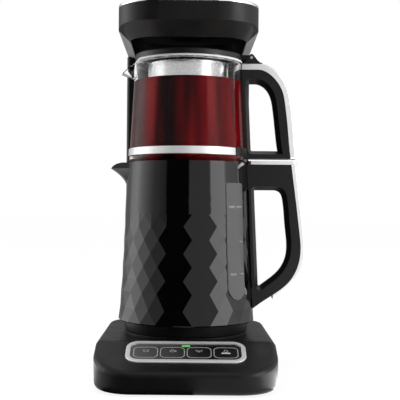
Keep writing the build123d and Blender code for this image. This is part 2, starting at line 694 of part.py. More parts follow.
def hinge_ears():
    ears = cross_rod(EAR_R, -COLUMN_WIDTH / 2, COLUMN_WIDTH / 2, HINGE_Y, HINGE_Z)
    ears += Pos(0, HINGE_Y, COLUMN_TOP - COLUMN_WALL) * Box(
        COLUMN_WIDTH, 2 * EAR_R, HINGE_Z - COLUMN_TOP + COLUMN_WALL, align=UP
    )
    ears -= Box(2 * EAR_INNER, REACH, REACH * 2)
    return ears & slab(column_plan(0), COLUMN_TOP - COLUMN_WALL, HEAD_TOP)


def column_shell():
    shell = slab(column_plan(0), BASE_TOP, COLUMN_TOP)
    shell -= slab(column_plan(COLUMN_WALL), BASE_TOP + COLUMN_WALL, COLUMN_TOP - COLUMN_WALL)
    shell -= back_opening(BACK_COVER_MARGIN, BACK_COVER_THICKNESS + GAP)
    shell -= back_opening(BACK_COVER_MARGIN + BACK_LEDGE, 2 * COLUMN_WALL)
    for x, y in column_boss_places():
        top = BASE_TOP + SCREW_LENGTH
        shell += post(BOSS_R, BASE_TOP, top, x, y)
        shell -= post(SCREW_R + SCREW_FIT, BASE_TOP, top, x, y)
    for x, z in back_screw_places():
        back = COLUMN_REAR - BACK_COVER_THICKNESS - GAP
        shell += fore_rod(BACK_LEDGE / 2, back - SCREW_LENGTH, back, x, z)
        shell -= fore_rod(SCREW_R + SCREW_FIT, back - SCREW_LENGTH, back, x, z)
    shell -= post(NOZZLE_R + GAP, COLUMN_TOP - 2 * COLUMN_WALL, COLUMN_TOP + 1, 0, RISER_Y)
    shell -= ductway()
    shell += hinge_ears()
    return shell - cross_rod(HINGE_PIN_R + SCREW_FIT, -COLUMN_WIDTH, COLUMN_WIDTH, HINGE_Y, HINGE_Z)


def column_back_cover():
    cover = back_opening(BACK_COVER_MARGIN + GAP, BACK_COVER_THICKNESS)
    for x, z in back_screw_places():
        cover -= fore_rod(SCREW_R + SCREW_FIT, COLUMN_REAR - COLUMN_WALL, COLUMN_REAR + 1, x, z)
    return cover


def back_cover_screws():
    screws = []
    for x, z in back_screw_places():
        shank = fore_rod(SCREW_R, COLUMN_REAR - SCREW_LENGTH, COLUMN_REAR, x, z)
        screws.append(shank + fore_rod(SCREW_HEAD_R, COLUMN_REAR, COLUMN_REAR + SCREW_HEAD, x, z))
    return screws


def hinge_pins():
    inner = TONGUE_HALF_WIDTH - KNUCKLE_WIDTH
    outer = COLUMN_WIDTH / 2
    return [
        cross_rod(HINGE_PIN_R, inner, outer, HINGE_Y, HINGE_Z),
        cross_rod(HINGE_PIN_R, -outer, -inner, HINGE_Y, HINGE_Z),
    ]


# ---------------------------------------------------------------- head
def head_plan(inset):
    length = HEAD_FRONT + HEAD_REAR
    middle = (HEAD_REAR - HEAD_FRONT) / 2
    outline = RectangleRounded(HEAD_WIDTH - 2 * inset, length - 2 * inset, HEAD_CORNER - inset)
    square = Pos(0, HEAD_REAR / 2) * Rectangle(HEAD_WIDTH - 2 * inset, HEAD_REAR - 2 * inset)
    return Pos(0, middle) * outline + square


def mouth_plan(grow):
    length = MOUTH_FRONT + MOUTH_REAR
    middle = (MOUTH_REAR - MOUTH_FRONT) / 2
    width = 2 * MOUTH_HALF_WIDTH
    outline = RectangleRounded(width + 2 * grow, length + 2 * grow, MOUTH_CORNER + grow)
    return Pos(0, middle) * outline


def underside(inset, low, high):
    """The solid between the mouth's outline at low and the head's outline at high."""
    length = HEAD_FRONT + HEAD_REAR
    middle = (HEAD_REAR - HEAD_FRONT) / 2
    wide = RectangleRounded(HEAD_WIDTH - 2 * inset, length - 2 * inset, HEAD_CORNER - inset)
    return loft([Pos(0, 0, low) * mouth_plan(inset), Pos(0, middle, high) * wide], ruled=True)


def hinge_room(inset):
    """What the head leaves free at its rear: the ears' notches, and the heel that would hit the column."""
    width = HEAD_WIDTH / 2 - TONGUE_HALF_WIDTH + inset
    size = (2 * width, 2 * (HEAD_REAR - NOTCH_Y + inset), REACH * 2)
    room = Pos(HEAD_WIDTH / 2, HEAD_REAR) * Box(*size)
    room += Pos(-HEAD_WIDTH / 2, HEAD_REAR) * Box(*size)
    heel = Pos(0, HINGE_Y, HINGE_Z) * Box(
        REACH, EAR_R * 2, EAR_R * 2, align=(Align.CENTER, Align.MIN, Align.MAX)
    )
    heel -= cross_rod(EAR_R - inset, -REACH, REACH, HINGE_Y, HINGE_Z)
    return room + heel


def ahead_of_seam(shift):
    """The plan ahead of the seam between chin and cheeks, moved forwards by shift."""
    half = HEAD_WIDTH / 2
    run = (SEAM_OUTER_Y - SEAM_INNER_Y) / (half - MOUTH_HALF_WIDTH)
    wide = half + MOUTH_CORNER
    wide_y = -SEAM_OUTER_Y - run * MOUTH_CORNER - shift
    inner_y = -SEAM_INNER_Y - shift
    corners = [
        (-wide, -2 * HEAD_FRONT), (wide, -2 * HEAD_FRONT), (wide, wide_y),
        (MOUTH_HALF_WIDTH, inner_y), (-MOUTH_HALF_WIDTH, inner_y), (-wide, wide_y),
    ]
    return slab(make_face(Polyline(*corners, close=True)), MOUTH_Z - 1, HEAD_TOP)


def chin_corner():
    """What the chin needs at the left seam to meet the cheek, above a plane through both edges."""
    outer = Vector(-HEAD_WIDTH / 2, -SEAM_OUTER_Y, CHEEK_EDGE)
    inner = Vector(-MOUTH_HALF_WIDTH, -SEAM_INNER_Y, MOUTH_Z)
    turn = HEAD_CORNER * (1 - cos(radians(45)))
    front = Vector(turn - HEAD_WIDTH / 2, turn - HEAD_FRONT, HEAD_PARTING)
    facet = Plane(outer, z_dir=(front - outer).cross(inner - outer))
    beside = Pos(front.X, 0) * Box(REACH, REACH, 2 * REACH, align=(Align.MAX, Align.CENTER, Align.CENTER))
    form = underside(0, MOUTH_Z, CHEEK_EDGE) + slab(head_plan(0), CHEEK_EDGE, HEAD_PARTING)
    return form & (facet * Box(REACH, REACH, REACH, align=UP)) & beside


def head_shell():
    panel = slab(head_plan(HEAD_TRIM_WIDTH + GAP / 2), HEAD_PARTING, HEAD_TOP + HEAD_PANEL_RISE)
    panel = fillet(panel.faces().sort_by(Axis.Z)[-1].edges(), HEAD_TRIM_EDGE / 2)
    drum = slab(head_plan(0), HEAD_PARTING, HEAD_TOP) + panel
    hollow = slab(head_plan(HEAD_WALL), HEAD_PARTING - 1, HEAD_TOP - HEAD_WALL) - hinge_room(HEAD_WALL)
    drum = drum - hollow - hinge_room(0)
    chin = underside(0, MOUTH_Z, HEAD_PARTING) + chin_corner() + mirror(chin_corner(), Plane.YZ)
    chin -= underside(HEAD_WALL, MOUTH_Z + HEAD_WALL, HEAD_PARTING)
    chin -= slab(mouth_plan(0), MOUTH_Z, HEAD_PARTING)
    shell = drum + (chin & ahead_of_seam(GAP / 2))
    knuckles = cross_rod(EAR_R - HEAD_WALL / 2, -TONGUE_HALF_WIDTH, TONGUE_HALF_WIDTH, HINGE_Y, HINGE_Z)
    knuckles -= Box(2 * (TONGUE_HALF_WIDTH - KNUCKLE_WIDTH), REACH, REACH * 2)
    shell += knuckles & level(HEAD_PARTING, HEAD_TOP)
    for x, y in head_screw_places():
        shell += post(BOSS_R, CHEEK_EDGE + HEAD_WALL, HEAD_TOP - HEAD_WALL, x, y)
        shell -= post(SCREW_R + SCREW_FIT, CHEEK_EDGE + HEAD_WALL, HEAD_PARTING + SCREW_LENGTH, x, y)
    return shell - cross_rod(HINGE_PIN_R + RUNNING, -HEAD_WIDTH, HEAD_WIDTH, HINGE_Y, HINGE_Z)


def head_trim():
    """The bright strip round the top of the head, open at the hinge."""
    trim = slab(head_plan(0), HEAD_TOP + GAP / 3, HEAD_TOP + HEAD_TRIM_HEIGHT)
    trim = fillet(trim.faces().sort_by(Axis.Z)[-1].edges(), HEAD_TRIM_EDGE)
    trim -= slab(head_plan(HEAD_TRIM_WIDTH), HEAD_TOP, HEAD_TOP + HEAD_TRIM_HEIGHT)
    return trim & (Pos(0, NOTCH_Y - GAP) * Box(REACH, REACH, REACH * 2, align=FRONT_HALF))


def head_underside():
    ahead_of_column = Pos(0, COLUMN_FRONT - HEAD_WALL) * Box(REACH, REACH, REACH * 2, align=FRONT_HALF)
    plate = underside(0, MOUTH_Z, CHEEK_EDGE) & ahead_of_column
    plate += slab(head_plan(0), CHEEK_EDGE, HEAD_PARTING)
    hollow = underside(HEAD_WALL, MOUTH_Z + HEAD_WALL, CHEEK_EDGE + HEAD_WALL)
    hollow &= Pos(0, -2 * HEAD_WALL) * ahead_of_column
    hollow += slab(head_plan(HEAD_WALL), CHEEK_EDGE + HEAD_WALL, HEAD_PARTING)
    plate = plate - hollow - slab(mouth_plan(0), MOUTH_Z, HEAD_PARTING)
    plate = plate - ahead_of_seam(0) - hinge_room(0)
    for x, y in head_screw_places():
        plate -= post(SCREW_R + SCREW_FIT, CHEEK_EDGE, HEAD_PARTING, x, y)
        plate -= post(SCREW_HEAD_R + GAP / 2, CHEEK_EDGE, CHEEK_EDGE + SCREW_HEAD, x, y)
    return plate - post(NOZZLE_R + GAP, CHEEK_EDGE, HEAD_PARTING, 0, RISER_Y)


def head_screw_places():
    return [(side * HEAD_BOSS_X, y) for side in (-1, 1) for y in (HEAD_BOSS_FRONT, HEAD_BOSS_REAR)]


def head_screws():
    return [screw(x, y, CHEEK_EDGE + SCREW_HEAD, SCREW_LENGTH) for x, y in head_screw_places()]


def head_liner():
    low = MOUTH_Z + HEAD_WALL + GAP / 2
    liner = slab(mouth_plan(LINER_WALL), low, LINER_CEILING + LINER_WALL)
    liner -= slab(mouth_plan(0), low, LINER_CEILING)
    return liner - post(NOZZLE_R + GAP / 2, LINER_CEILING, LINER_CEILING + LINER_WALL)


def shower_head():
    low = LINER_CEILING - SHOWER_THICKNESS
    head = post(SHOWER_R, low, LINER_CEILING) + post(NOZZLE_R, LINER_CEILING, LINER_CEILING + LINER_WALL)
    head -= post(SHOWER_R - DUCT_WALL, low + DUCT_WALL, LINER_CEILING - DUCT_WALL)
    head -= post(HOSE_BORE_R, LINER_CEILING - DUCT_WALL, LINER_CEILING + LINER_WALL)
    holes = PolarLocations(SHOWER_R * 0.7, SHOWER_HOLES)
    for place in holes.locations:
        head -= place * post(SHOWER_HOLE_R, low, low + DUCT_WALL)
    return head


def head_duct():
    low = LINER_CEILING + LINER_WALL
    length = RISER_Y + 2 * NOZZLE_R
    ends = (Align.CENTER, Align.MIN, Align.MIN)
    duct = Pos(0, -NOZZLE_R, low) * Box(DUCT_WIDTH, length, DUCT_HEIGHT, align=ends)
    duct -= Pos(0, DUCT_WALL - NOZZLE_R, low + DUCT_WALL) * Box(
        DUCT_WIDTH - 2 * DUCT_WALL, length - 2 * DUCT_WALL, DUCT_HEIGHT - 2 * DUCT_WALL, align=ends
    )
    duct += post(NOZZLE_R, CHEEK_EDGE, low, 0, RISER_Y)
    duct -= post(HOSE_BORE_R, CHEEK_EDGE, low + DUCT_WALL, 0, RISER_Y)
    return duct - post(HOSE_BORE_R, low, low + DUCT_WALL)


# ---------------------------------------------------------------- kettle
def kettle_radius(height):
    """The kettle's outside radius, the cubic through KETTLE_RADII."""
    last = len(KETTLE_RADII) - 1
    place = (height - KETTLE_BOTTOM) / (KETTLE_RIM - KETTLE_BOTTOM) * last
    radius = 0
    for n, known in enumerate(KETTLE_RADII):
        weight = 1
        for other in range(last + 1):
            if other != n:
                weight *= (place - other) / (n - other)
        radius += known * weight
    return radius


def kettle_form(grow, low, high):
    """The kettle's smooth outside, grown by grow, between two heights."""
    step = (KETTLE_RIM - KETTLE_BOTTOM) / (KETTLE_STATIONS - 1)
    heights = [KETTLE_BOTTOM + n * step for n in range(KETTLE_STATIONS)]
    side = Spline(*[(kettle_radius(z) + grow, z) for z in heights])
    ends = Polyline(side @ 1, (0, KETTLE_RIM), (0, KETTLE_BOTTOM), side @ 0)
    return revolve(Plane.XZ * make_face(side + ends), Axis.Z) & level(low, high)


def facet_ring(radius, height, count, turn):
    """Corners spaced evenly round the kettle at one height."""
    angles = [radians(turn + 360 / count * n) for n in range(count)]
    return [Vector(radius * sin(angle), -radius * cos(angle), height) for angle in angles]


def facet_band(lower, upper):
    """Triangles between two rings, the upper one turned half a facet ahead of the lower."""
    band = []
    for n, corner in enumerate(lower):
        after = (n + 1) % len(lower)
        band.append((corner, lower[after], upper[n]))
        band.append((upper[n], lower[after], upper[after]))
    return band


def facet_fade(lower, upper):
    """Triangles from the last ring to one with twice as many corners."""
    band = []
    for n, corner in enumerate(lower):
        after = lower[(n + 1) % len(lower)]
        over, between, over_after = (upper[(2 * n + m) % len(upper)] for m in range(3))
        band += [(corner, after, between), (corner, between, over), (after, over_after, between)]
    return band


def kettle_facets():
    """The lower part of the kettle's outside, cut into diamonds that each have two flat halves."""
    half_facet = 180 / FACETS
    heights = [KETTLE_BOTTOM + lift for lift in (KETTLE_CHAMFER, *FACET_LIFTS)]
    rings = [
        facet_ring(kettle_radius(z), z, FACETS, FACET_TURN + n * half_facet)
        for n, z in enumerate(heights)
    ]
    last_turn = FACET_TURN + len(FACET_LIFTS) * half_facet
    end = facet_ring(kettle_radius(FACET_END), FACET_END, 2 * FACETS, last_turn)
    bottom_radius = kettle_radius(heights[0]) - KETTLE_CHAMFER
    bottom = facet_ring(bottom_radius, KETTLE_BOTTOM, FACETS, FACET_TURN)
    outlines = [bottom, end]
    for n, corner in enumerate(bottom):
        after = (n + 1) % FACETS
        outlines.append((corner, bottom[after], rings[0][after], rings[0][n]))
    for lower, upper in zip(rings, rings[1:]):
        outlines += facet_band(lower, upper)
    outlines += facet_fade(rings[-1], end)
    return Solid(Shell([Face(Wire.make_polygon(outline)) for outline in outlines]))


def spout_cone(tip_x, tip_z, root_x, root_z, half_angle, inset):
    """A cone whose outer line runs from its apex at the root to the spout's tip, both at -X."""
    lean = Vector(tip_x - root_x, 0, tip_z - root_z).get_angle(Vector(0, 0, 1)) - half_angle
    length = 2 * (tip_z - root_z + tip_x - root_x)
    cone = Cone(0, length * tan(radians(half_angle)), length, align=UP)
    shift = inset / sin(radians(half_angle))
    return Pos(-root_x, 0, root_z) * Rot(0, -lean, 0) * Pos(0, 0, shift) * cone


def kettle_spout(inset):
    """A beak with two flat sides and a rounded keel, which flares out to the tip."""
    base_x = KETTLE_RADII[-1] - 2 * KETTLE_LIP_R
    root_reach = kettle_radius(KETTLE_SPOUT_ROOT)
    rings = []
    for n in range(KETTLE_SPOUT_STATIONS + 1):
        share = n / KETTLE_SPOUT_STATIONS
        height = KETTLE_SPOUT_ROOT + share * (KETTLE_SPOUT_TIP - KETTLE_SPOUT_ROOT)
        # the sharp corner that the keel's rounding takes away
        corner = KETTLE_LIP_R * (1 / sin(radians(KETTLE_SPOUT_HALF_ANGLE)) - 1)
        reach = root_reach + share ** KETTLE_SPOUT_FLARE * (KETTLE_SPOUT_REACH - root_reach) + corner
        reach -= inset / sin(radians(KETTLE_SPOUT_HALF_ANGLE))
        half_width = (reach - base_x) * tan(radians(KETTLE_SPOUT_HALF_ANGLE))
        corners = ((-reach, 0), (-base_x, -half_width), (-base_x, half_width))
        section = make_face(Polyline(*corners, close=True))
        section = fillet(section.vertices().sort_by(Axis.X)[0], KETTLE_LIP_R - inset)
        rings.append(Pos(0, 0, height) * section)
    lip = Pos(0, 0, KETTLE_RIM - KETTLE_SPOUT_TIP) * rings[-1]
    return loft(rings) + loft([rings[-1], lip])


def under_nose():
    """Everything below the spout's upper line, which bends down to its tip."""
    tip = (-KETTLE_SPOUT_REACH, KETTLE_SPOUT_TIP)
    start = (-KETTLE_RADII[-1], KETTLE_RIM)
    line = Spline(start, *[(inward + tip[0], rise + tip[1]) for inward, rise in KETTLE_NOSE], tip)
    rest = Polyline(tip, (tip[0], 0), (0, 0), (0, KETTLE_RIM), start)
    return side_plate(make_face(line + rest), KETTLE_RADII[0])


def above_dip(start_x, start_z, tip_x, tip_z):
    """Everything above a plane that falls from the rim towards the spout's tip."""
    fall = Vector(tip_x - start_x, 0, start_z - tip_z).get_angle(Vector(1, 0, 0))
    return Pos(-start_x, 0, start_z) * Rot(0, -fall, 0) * Box(REACH, REACH, REACH, align=UP)


def gauge_slot(grow):
    """The slot for the water gauge through the kettle's wall, round at its lower end."""
    width = GAUGE_WIDTH + 2 * grow
    top = GAUGE_HIGH + grow
    centre = GAUGE_LOW + GAUGE_WIDTH / 2
    outline = Pos(0, (top + centre) / 2) * Rectangle(width, top - centre) + Pos(0, centre) * Circle(width / 2)
    outline = fillet(outline.vertices().group_by(Axis.Y)[-1], GAUGE_CORNER)
    return Rot(0, 0, GAUGE_ANGLE) * extrude(Plane.XZ * outline, 2 * KETTLE_RADII[0])


def kettle_body():
    body = kettle_facets() + kettle_form(0, FACET_END, KETTLE_RIM)
    body += kettle_spout(0) & under_nose()
    body -= kettle_form(-KETTLE_WALL, KETTLE_BOTTOM + KETTLE_WALL, KETTLE_RIM)
    body -= kettle_spout(KETTLE_WALL) & level(KETTLE_SPOUT_ROOT, KETTLE_RIM)
    body -= gauge_slot(GAP / 2)
    body -= post(VALVE_R + GAP / 2, KETTLE_BOTTOM, KETTLE_BOTTOM + KETTLE_WALL, 0, COUPLING_Y)
    for z in handle_screw_heights():
        body -= cross_rod(SCREW_R + SCREW_FIT, 0, KETTLE_RADII[0], 0, z)
    return body


def gauge_window():
    skin = kettle_form(GAUGE_RISE, GAUGE_LOW, GAUGE_HIGH)
    skin -= kettle_form(-KETTLE_WALL - GAUGE_RISE, GAUGE_LOW, GAUGE_HIGH)
    return skin & gauge_slot(0)


def kettle_plinth():
    top = KETTLE_BOTTOM
    floor = KETTLE_FOOT + PLINTH_WALL
    outside = [(0, KETTLE_FOOT), (PLINTH_LOW_R, KETTLE_FOOT), (PLINTH_TOP_R, top), (0, top)]
    inside = [(0, floor), (PLINTH_LOW_R - PLINTH_WALL, floor), (PLINTH_TOP_R - PLINTH_WALL, top), (0, top)]
    plinth = turned(outside) - turned(inside)
    plinth -= post(SOCKET_R + GAP / 2, KETTLE_FOOT, floor)
    return plinth - post(VALVE_R + GAP, KETTLE_FOOT, floor, 0, COUPLING_Y)


def kettle_socket():
    floor = KETTLE_FOOT + PLINTH_WALL
    socket = post(SOCKET_R, KETTLE_FOOT, SOCKET_TOP)
    socket += post(SOCKET_R + FLANGE_WIDTH, floor, floor + FLANGE_THICKNESS)
    return socket - post(SOCKET_BORE_R, KETTLE_FOOT, SOCKET_TOP - FLANGE_THICKNESS)


def heating_plate():
    low = KETTLE_BOTTOM - HEATER_THICKNESS
    return post(HEATER_R, low, KETTLE_BOTTOM) - post(VALVE_R + GAP, low, KETTLE_BOTTOM, 0, COUPLING_Y)


def kettle_valve():
    seat = KETTLE_BOTTOM + KETTLE_WALL
    valve = post(VALVE_R, KETTLE_FOOT + GAP, seat, 0, COUPLING_Y)
    valve += post(VALVE_R + FLANGE_THICKNESS, seat, seat + FLANGE_THICKNESS, 0, COUPLING_Y)
    mouth_top = BASE_TOP + CONNECTOR_RISE + FLANGE_THICKNESS
    return valve - post(VALVE_BORE_R, KETTLE_FOOT, mouth_top, 0, COUPLING_Y)


def kettle_mouth_ring():
    """The black collar inside the kettle's rim that the teapot's foot nests in."""
    low = KETTLE_RIM - MOUTH_RING_HEIGHT
    ring = kettle_form(-KETTLE_WALL - GAP / 2, low, KETTLE_RIM)
    ring -= post(MOUTH_RING_R, low, KETTLE_RIM) + post(NEST_R, NEST_Z, KETTLE_RIM)
    pour_room = Box(KETTLE_RADII[-1], MOUTH_RING_HEIGHT * 2, NEST_DEPTH * 2, align=UP)
    pour = Pos(-KETTLE_RADII[-1], 0, low) * pour_room
    return ring - pour


def from_rim(points):
    """Points whose heights are given above the kettle's rim, as heights above the floor."""
    return [(x, KETTLE_RIM + z) for x, z in points]


def grip_face(line, top):
    """The region inside an outer line of a grip, in the XZ plane."""
    points = from_rim(line)
    outer = Spline(*points)
    rest = Polyline(outer @ 1, (GRIP_ROOT, points[-1][1]), (GRIP_ROOT, top), outer @ 0)
    return make_face(outer + rest)


def opened(grip, curve, corners):
    """A grip with its hole, which flares towards both faces."""
    points = from_rim(curve)
    hole = make_face(Spline(*points) + Polyline(points[-1], *from_rim(corners), points[0]))
    hole = fillet(hole.vertices().sort_by(Axis.X)[:2], HOLE_CORNER)
    grip -= side_plate(hole, GRIP_HALF_WIDTH)
    for side in (0, -1):
        face = grip.faces().filter_by(Axis.Y).sort_by(Axis.Y)[side]
        grip = chamfer(face.inner_wires()[0].edges(), HOLE_FLARE, HOLE_FLARE_DEPTH, reference=face)
    return grip


def kettle_grip_faces():
    """The outlines of the kettle's grip, with and without its bright strip."""
    lines = (KETTLE_GRIP_OUTER, KETTLE_TRIM_INNER)
    return [grip_face(line, KETTLE_GRIP_TOP) for line in lines]


def kettle_handle():
    outer, inner = kettle_grip_faces()
    strip = side_plate(outer - inner, 2 * GRIP_HALF_WIDTH) & beyond(TRIM_END)
    grip = opened(side_plate(inner, GRIP_HALF_WIDTH), KETTLE_HOLE_CURVE, KETTLE_HOLE_CORNERS)
    grip -= Pos(-GAP / 2, 0, GAP / 2) * strip
    grip -= kettle_form(GAP, KETTLE_BOTTOM, KETTLE_RIM)
    grip -= kettle_form(LEG_STANDOFF, KETTLE_HOLE_LOW, KETTLE_HOLE_TOP)
    for z in handle_screw_heights():
        grip -= cross_rod(SCREW_R + SCREW_FIT, 0, KETTLE_RADII[0] + HANDLE_SCREW_DEPTH, 0, z)
    return grip


def beyond(x):
    """Everything further out than x, in the handles' direction."""
    return Pos(x, 0, 0) * Box(REACH, REACH, 2 * REACH, align=(Align.MIN, Align.CENTER, Align.CENTER))


def trim_strip(outer, inner):
    """A bright strip along a grip's outer line, as wide as the grip, with its outer edges rounded."""
    body = side_plate(outer, GRIP_HALF_WIDTH)
    sides = body.faces().filter_by(Axis.Y)
    edges = [e for side in sides for e in side.edges() if (e @ 0.5).X > GRIP_ROOT + 1]
    return fillet(edges, TRIM_EDGE) - side_plate(inner, 2 * GRIP_HALF_WIDTH)


def kettle_handle_trim():
    return trim_strip(*kettle_grip_faces()) & beyond(TRIM_END)


def handle_bar():
    """The bright bar on top of the kettle's grip, under the teapot's."""
    start = KETTLE_RADII[-1] + GAP
    middle = (start + BAR_END) / 2
    low = KETTLE_GRIP_TOP + GAP / 3
    bar = Pos(middle, 0, low) * Box(BAR_END - start, 2 * GRIP_HALF_WIDTH, BAR_THICKNESS, align=UP)
    return fillet(bar.edges().filter_by(Axis.Z), BAR_CORNER)


def handle_screw_heights():
    top = (KETTLE_RIM + KETTLE_HOLE_TOP) / 2
    low = (KETTLE_HOLE_LOW + KETTLE_GRIP_LOW) / 2
    return (low, top)


def handle_screws():
    screws = []
    for z in handle_screw_heights():
        inside = kettle_form(-KETTLE_WALL, z - SCREW_HEAD_R, z + SCREW_HEAD_R)
        head_x = inside.bounding_box().min.X * -1
        shank = cross_rod(SCREW_R, head_x - KETTLE_WALL, head_x + HANDLE_SCREW_DEPTH, 0, z)
        head = cross_rod(SCREW_HEAD_R, head_x - 2 * SCREW_HEAD, head_x, 0, z) & inside
        screws.append(shank + head)
    return screws


# ---------------------------------------------------------------- teapot
def glass_form(grow, low):
    """The teapot's outside, grown by grow, from low upwards."""
    points = [
        (0, low), (GLASS_FOOT_R + grow, low), (GLASS_FOOT_R + grow, GLASS_SHOULDER - grow),
        (GLASS_LOW_R + grow, GLASS_SHOULDER - grow), (GLASS_HIGH_R + grow, GLASS_NECK),
        (GLASS_RIM_R + grow, GLASS_RIM), (0, GLASS_RIM),
    ]
    return turned(points)


def teapot_spout(inset):
    return spout_cone(
        TEAPOT_SPOUT_REACH, TEAPOT_SPOUT_TIP, GLASS_HIGH_R, TEAPOT_SPOUT_ROOT,
        TEAPOT_SPOUT_HALF_ANGLE, inset,
    )


def teapot_glass():
    glass = glass_form(0, GLASS_BOTTOM) + (teapot_spout(0) & level(GLASS_NECK, GLASS_RIM))
    glass -= glass_form(-GLASS_WALL, GLASS_BOTTOM + GLASS_FLOOR)
    glass -= teapot_spout(GLASS_WALL) & level(GLASS_NECK, GLASS_RIM)
    return glass - above_dip(TEAPOT_DIP_START, GLASS_RIM, TEAPOT_SPOUT_REACH, TEAPOT_SPOUT_TIP)


def basket_form(grow):
    """The infuser's cup, thickened by grow to both sides."""
    cup = post(BASKET_R + grow, BASKET_FLOOR - grow, BASKET_TOP)
    return cup - post(BASKET_R - BASKET_WALL - grow, BASKET_FLOOR + BASKET_WALL + grow, BASKET_TOP)


def tea():
    """The brewed tea, as a solid that fills the glass round the infuser."""
    fill = glass_form(-GLASS_WALL - GAP / 2, GLASS_BOTTOM + GLASS_FLOOR + GAP / 2)
    fill &= level(GLASS_BOTTOM, TEA_LEVEL)
    return fill - basket_form(GAP / 2)


def infuser_basket():
    basket = basket_form(0)
    low = BASKET_TOP - BASKET_WALL
    basket += tube(BASKET_R + BASKET_FLANGE, BASKET_R - BASKET_WALL, low, BASKET_TOP)
    reach = GLASS_RIM_R - GLASS_WALL - GAP
    arm = Pos(BASKET_R, 0, low) * Box(
        reach - BASKET_R, BASKET_ARM_WIDTH, BASKET_WALL, align=(Align.MIN, Align.CENTER, Align.MIN)
    )
    for angle in BASKET_ARM_ANGLES:
        basket += Rot(0, 0, angle) * arm
    return basket & post(reach, BASKET_FLOOR, BASKET_TOP)


def yoke_sector(widen):
    """The sector round the grip that its yoke takes, widened at both ends."""
    side = REACH * tan(radians(YOKE_HALF_ANGLE))
    corners = ((0, 0), (REACH, -side), (REACH, side))
    face = make_face(Polyline(*corners, close=True))
    return Pos(-widen / sin(radians(YOKE_HALF_ANGLE)), 0, 0) * slab(face, GLASS_BOTTOM, GLASS_RIM)


def teapot_band():
    outer = glass_form(BAND_THICKNESS + GAP / 3, GLASS_BOTTOM)
    band = (outer - glass_form(GAP / 3, GLASS_BOTTOM)) & level(BAND_LOW, BAND_HIGH)
    return band - yoke_sector(GAP)


def band_yoke():
    outer = glass_form(YOKE_THICKNESS, GLASS_BOTTOM) & yoke_sector(0)
    return outer & level(BAND_LOW - YOKE_MARGIN, BAND_HIGH + YOKE_MARGIN)


def teapot_grip_faces():
    """The outlines of the teapot's grip, with and without its bright strip."""
    lines = (TEAPOT_GRIP_OUTER, TEAPOT_TRIM_INNER)
    return [grip_face(line, KETTLE_RIM + line[0][1]) for line in lines]


def teapot_handle():
    outer, inner = teapot_grip_faces()
    strip = side_plate(outer - inner, 2 * GRIP_HALF_WIDTH)
    grip = opened(side_plate(outer, GRIP_HALF_WIDTH), TEAPOT_HOLE_CURVE, TEAPOT_HOLE_CORNERS)
    grip -= strip
    grip -= Pos(-GAP / 2, 0, -GAP / 2) * strip
    return grip + band_yoke() - glass_form(GAP, GLASS_BOTTOM)


def teapot_handle_trim():
    return trim_strip(*teapot_grip_faces()) - glass_form(GAP, GLASS_BOTTOM)


# ---------------------------------------------------------------- lid and its hinge
def lid_hinge_bracket():
    base = TEAPOT_GRIP_TOP
    hump = Spline(*BRACKET_OUTLINE)
    bracket = side_plate(Pos(0, base) * make_face(hump + Line(hump @ 1, hump @ 0)), BRACKET_HALF_WIDTH)
    room = fore_rod(BARREL_R + 2, -BARREL_HALF_WIDTH - GAP, BARREL_HALF_WIDTH + GAP, LID_HINGE_X, LID_HINGE_Z)
    room += Pos(LID_HINGE_X, 0, base) * Box(
        REACH, 2 * (BARREL_HALF_WIDTH + GAP), REACH, align=(Align.MAX, Align.CENTER, Align.MIN)
    )
    half_width = BRACKET_HALF_WIDTH
    pin_hole = fore_rod(LID_PIN_R + SCREW_FIT, -half_width, half_width, LID_HINGE_X, LID_HINGE_Z)
    return bracket - room - pin_hole


def lid_hinge_pin():
    return fore_rod(LID_PIN_R, -BRACKET_HALF_WIDTH, BRACKET_HALF_WIDTH, LID_HINGE_X, LID_HINGE_Z)


def teapot_lid():
    low = LID_BOTTOM
    lid = post(LID_R, low, LID_TOP)
    lid = fillet(lid.faces().sort_by(Axis.Z)[-1].edges(), LID_WALL)
    lid += post(LID_SKIRT_R, low - LID_SKIRT_DEPTH, low)
    lid -= post(LID_SKIRT_R - LID_WALL, low - LID_SKIRT_DEPTH, LID_TOP - LID_WALL)
    lid += tube(LID_FUNNEL_R + LID_WALL, LID_FUNNEL_R, low, LID_TOP)
    lid -= post(LID_FUNNEL_R, low, LID_TOP)
    arm_low = LID_HINGE_Z - BARREL_R / 2
    arm = Pos(LID_R - LID_WALL, 0, arm_low) * Box(
        LID_HINGE_X - LID_R + LID_WALL, 2 * BARREL_HALF_WIDTH, LID_TOP - arm_low,
        align=(Align.MIN, Align.CENTER, Align.MIN),
    )
    lid += arm
    lid += fore_rod(BARREL_R, -BARREL_HALF_WIDTH, BARREL_HALF_WIDTH, LID_HINGE_X, LID_HINGE_Z)
    return lid - fore_rod(LID_PIN_R + RUNNING, -LID_R, LID_R, LID_HINGE_X, LID_HINGE_Z)


def lid_seal():
    low = LID_BOTTOM - LID_SKIRT_DEPTH
    return tube(SEAL_R, LID_SKIRT_R, low, low + SEAL_HEIGHT)


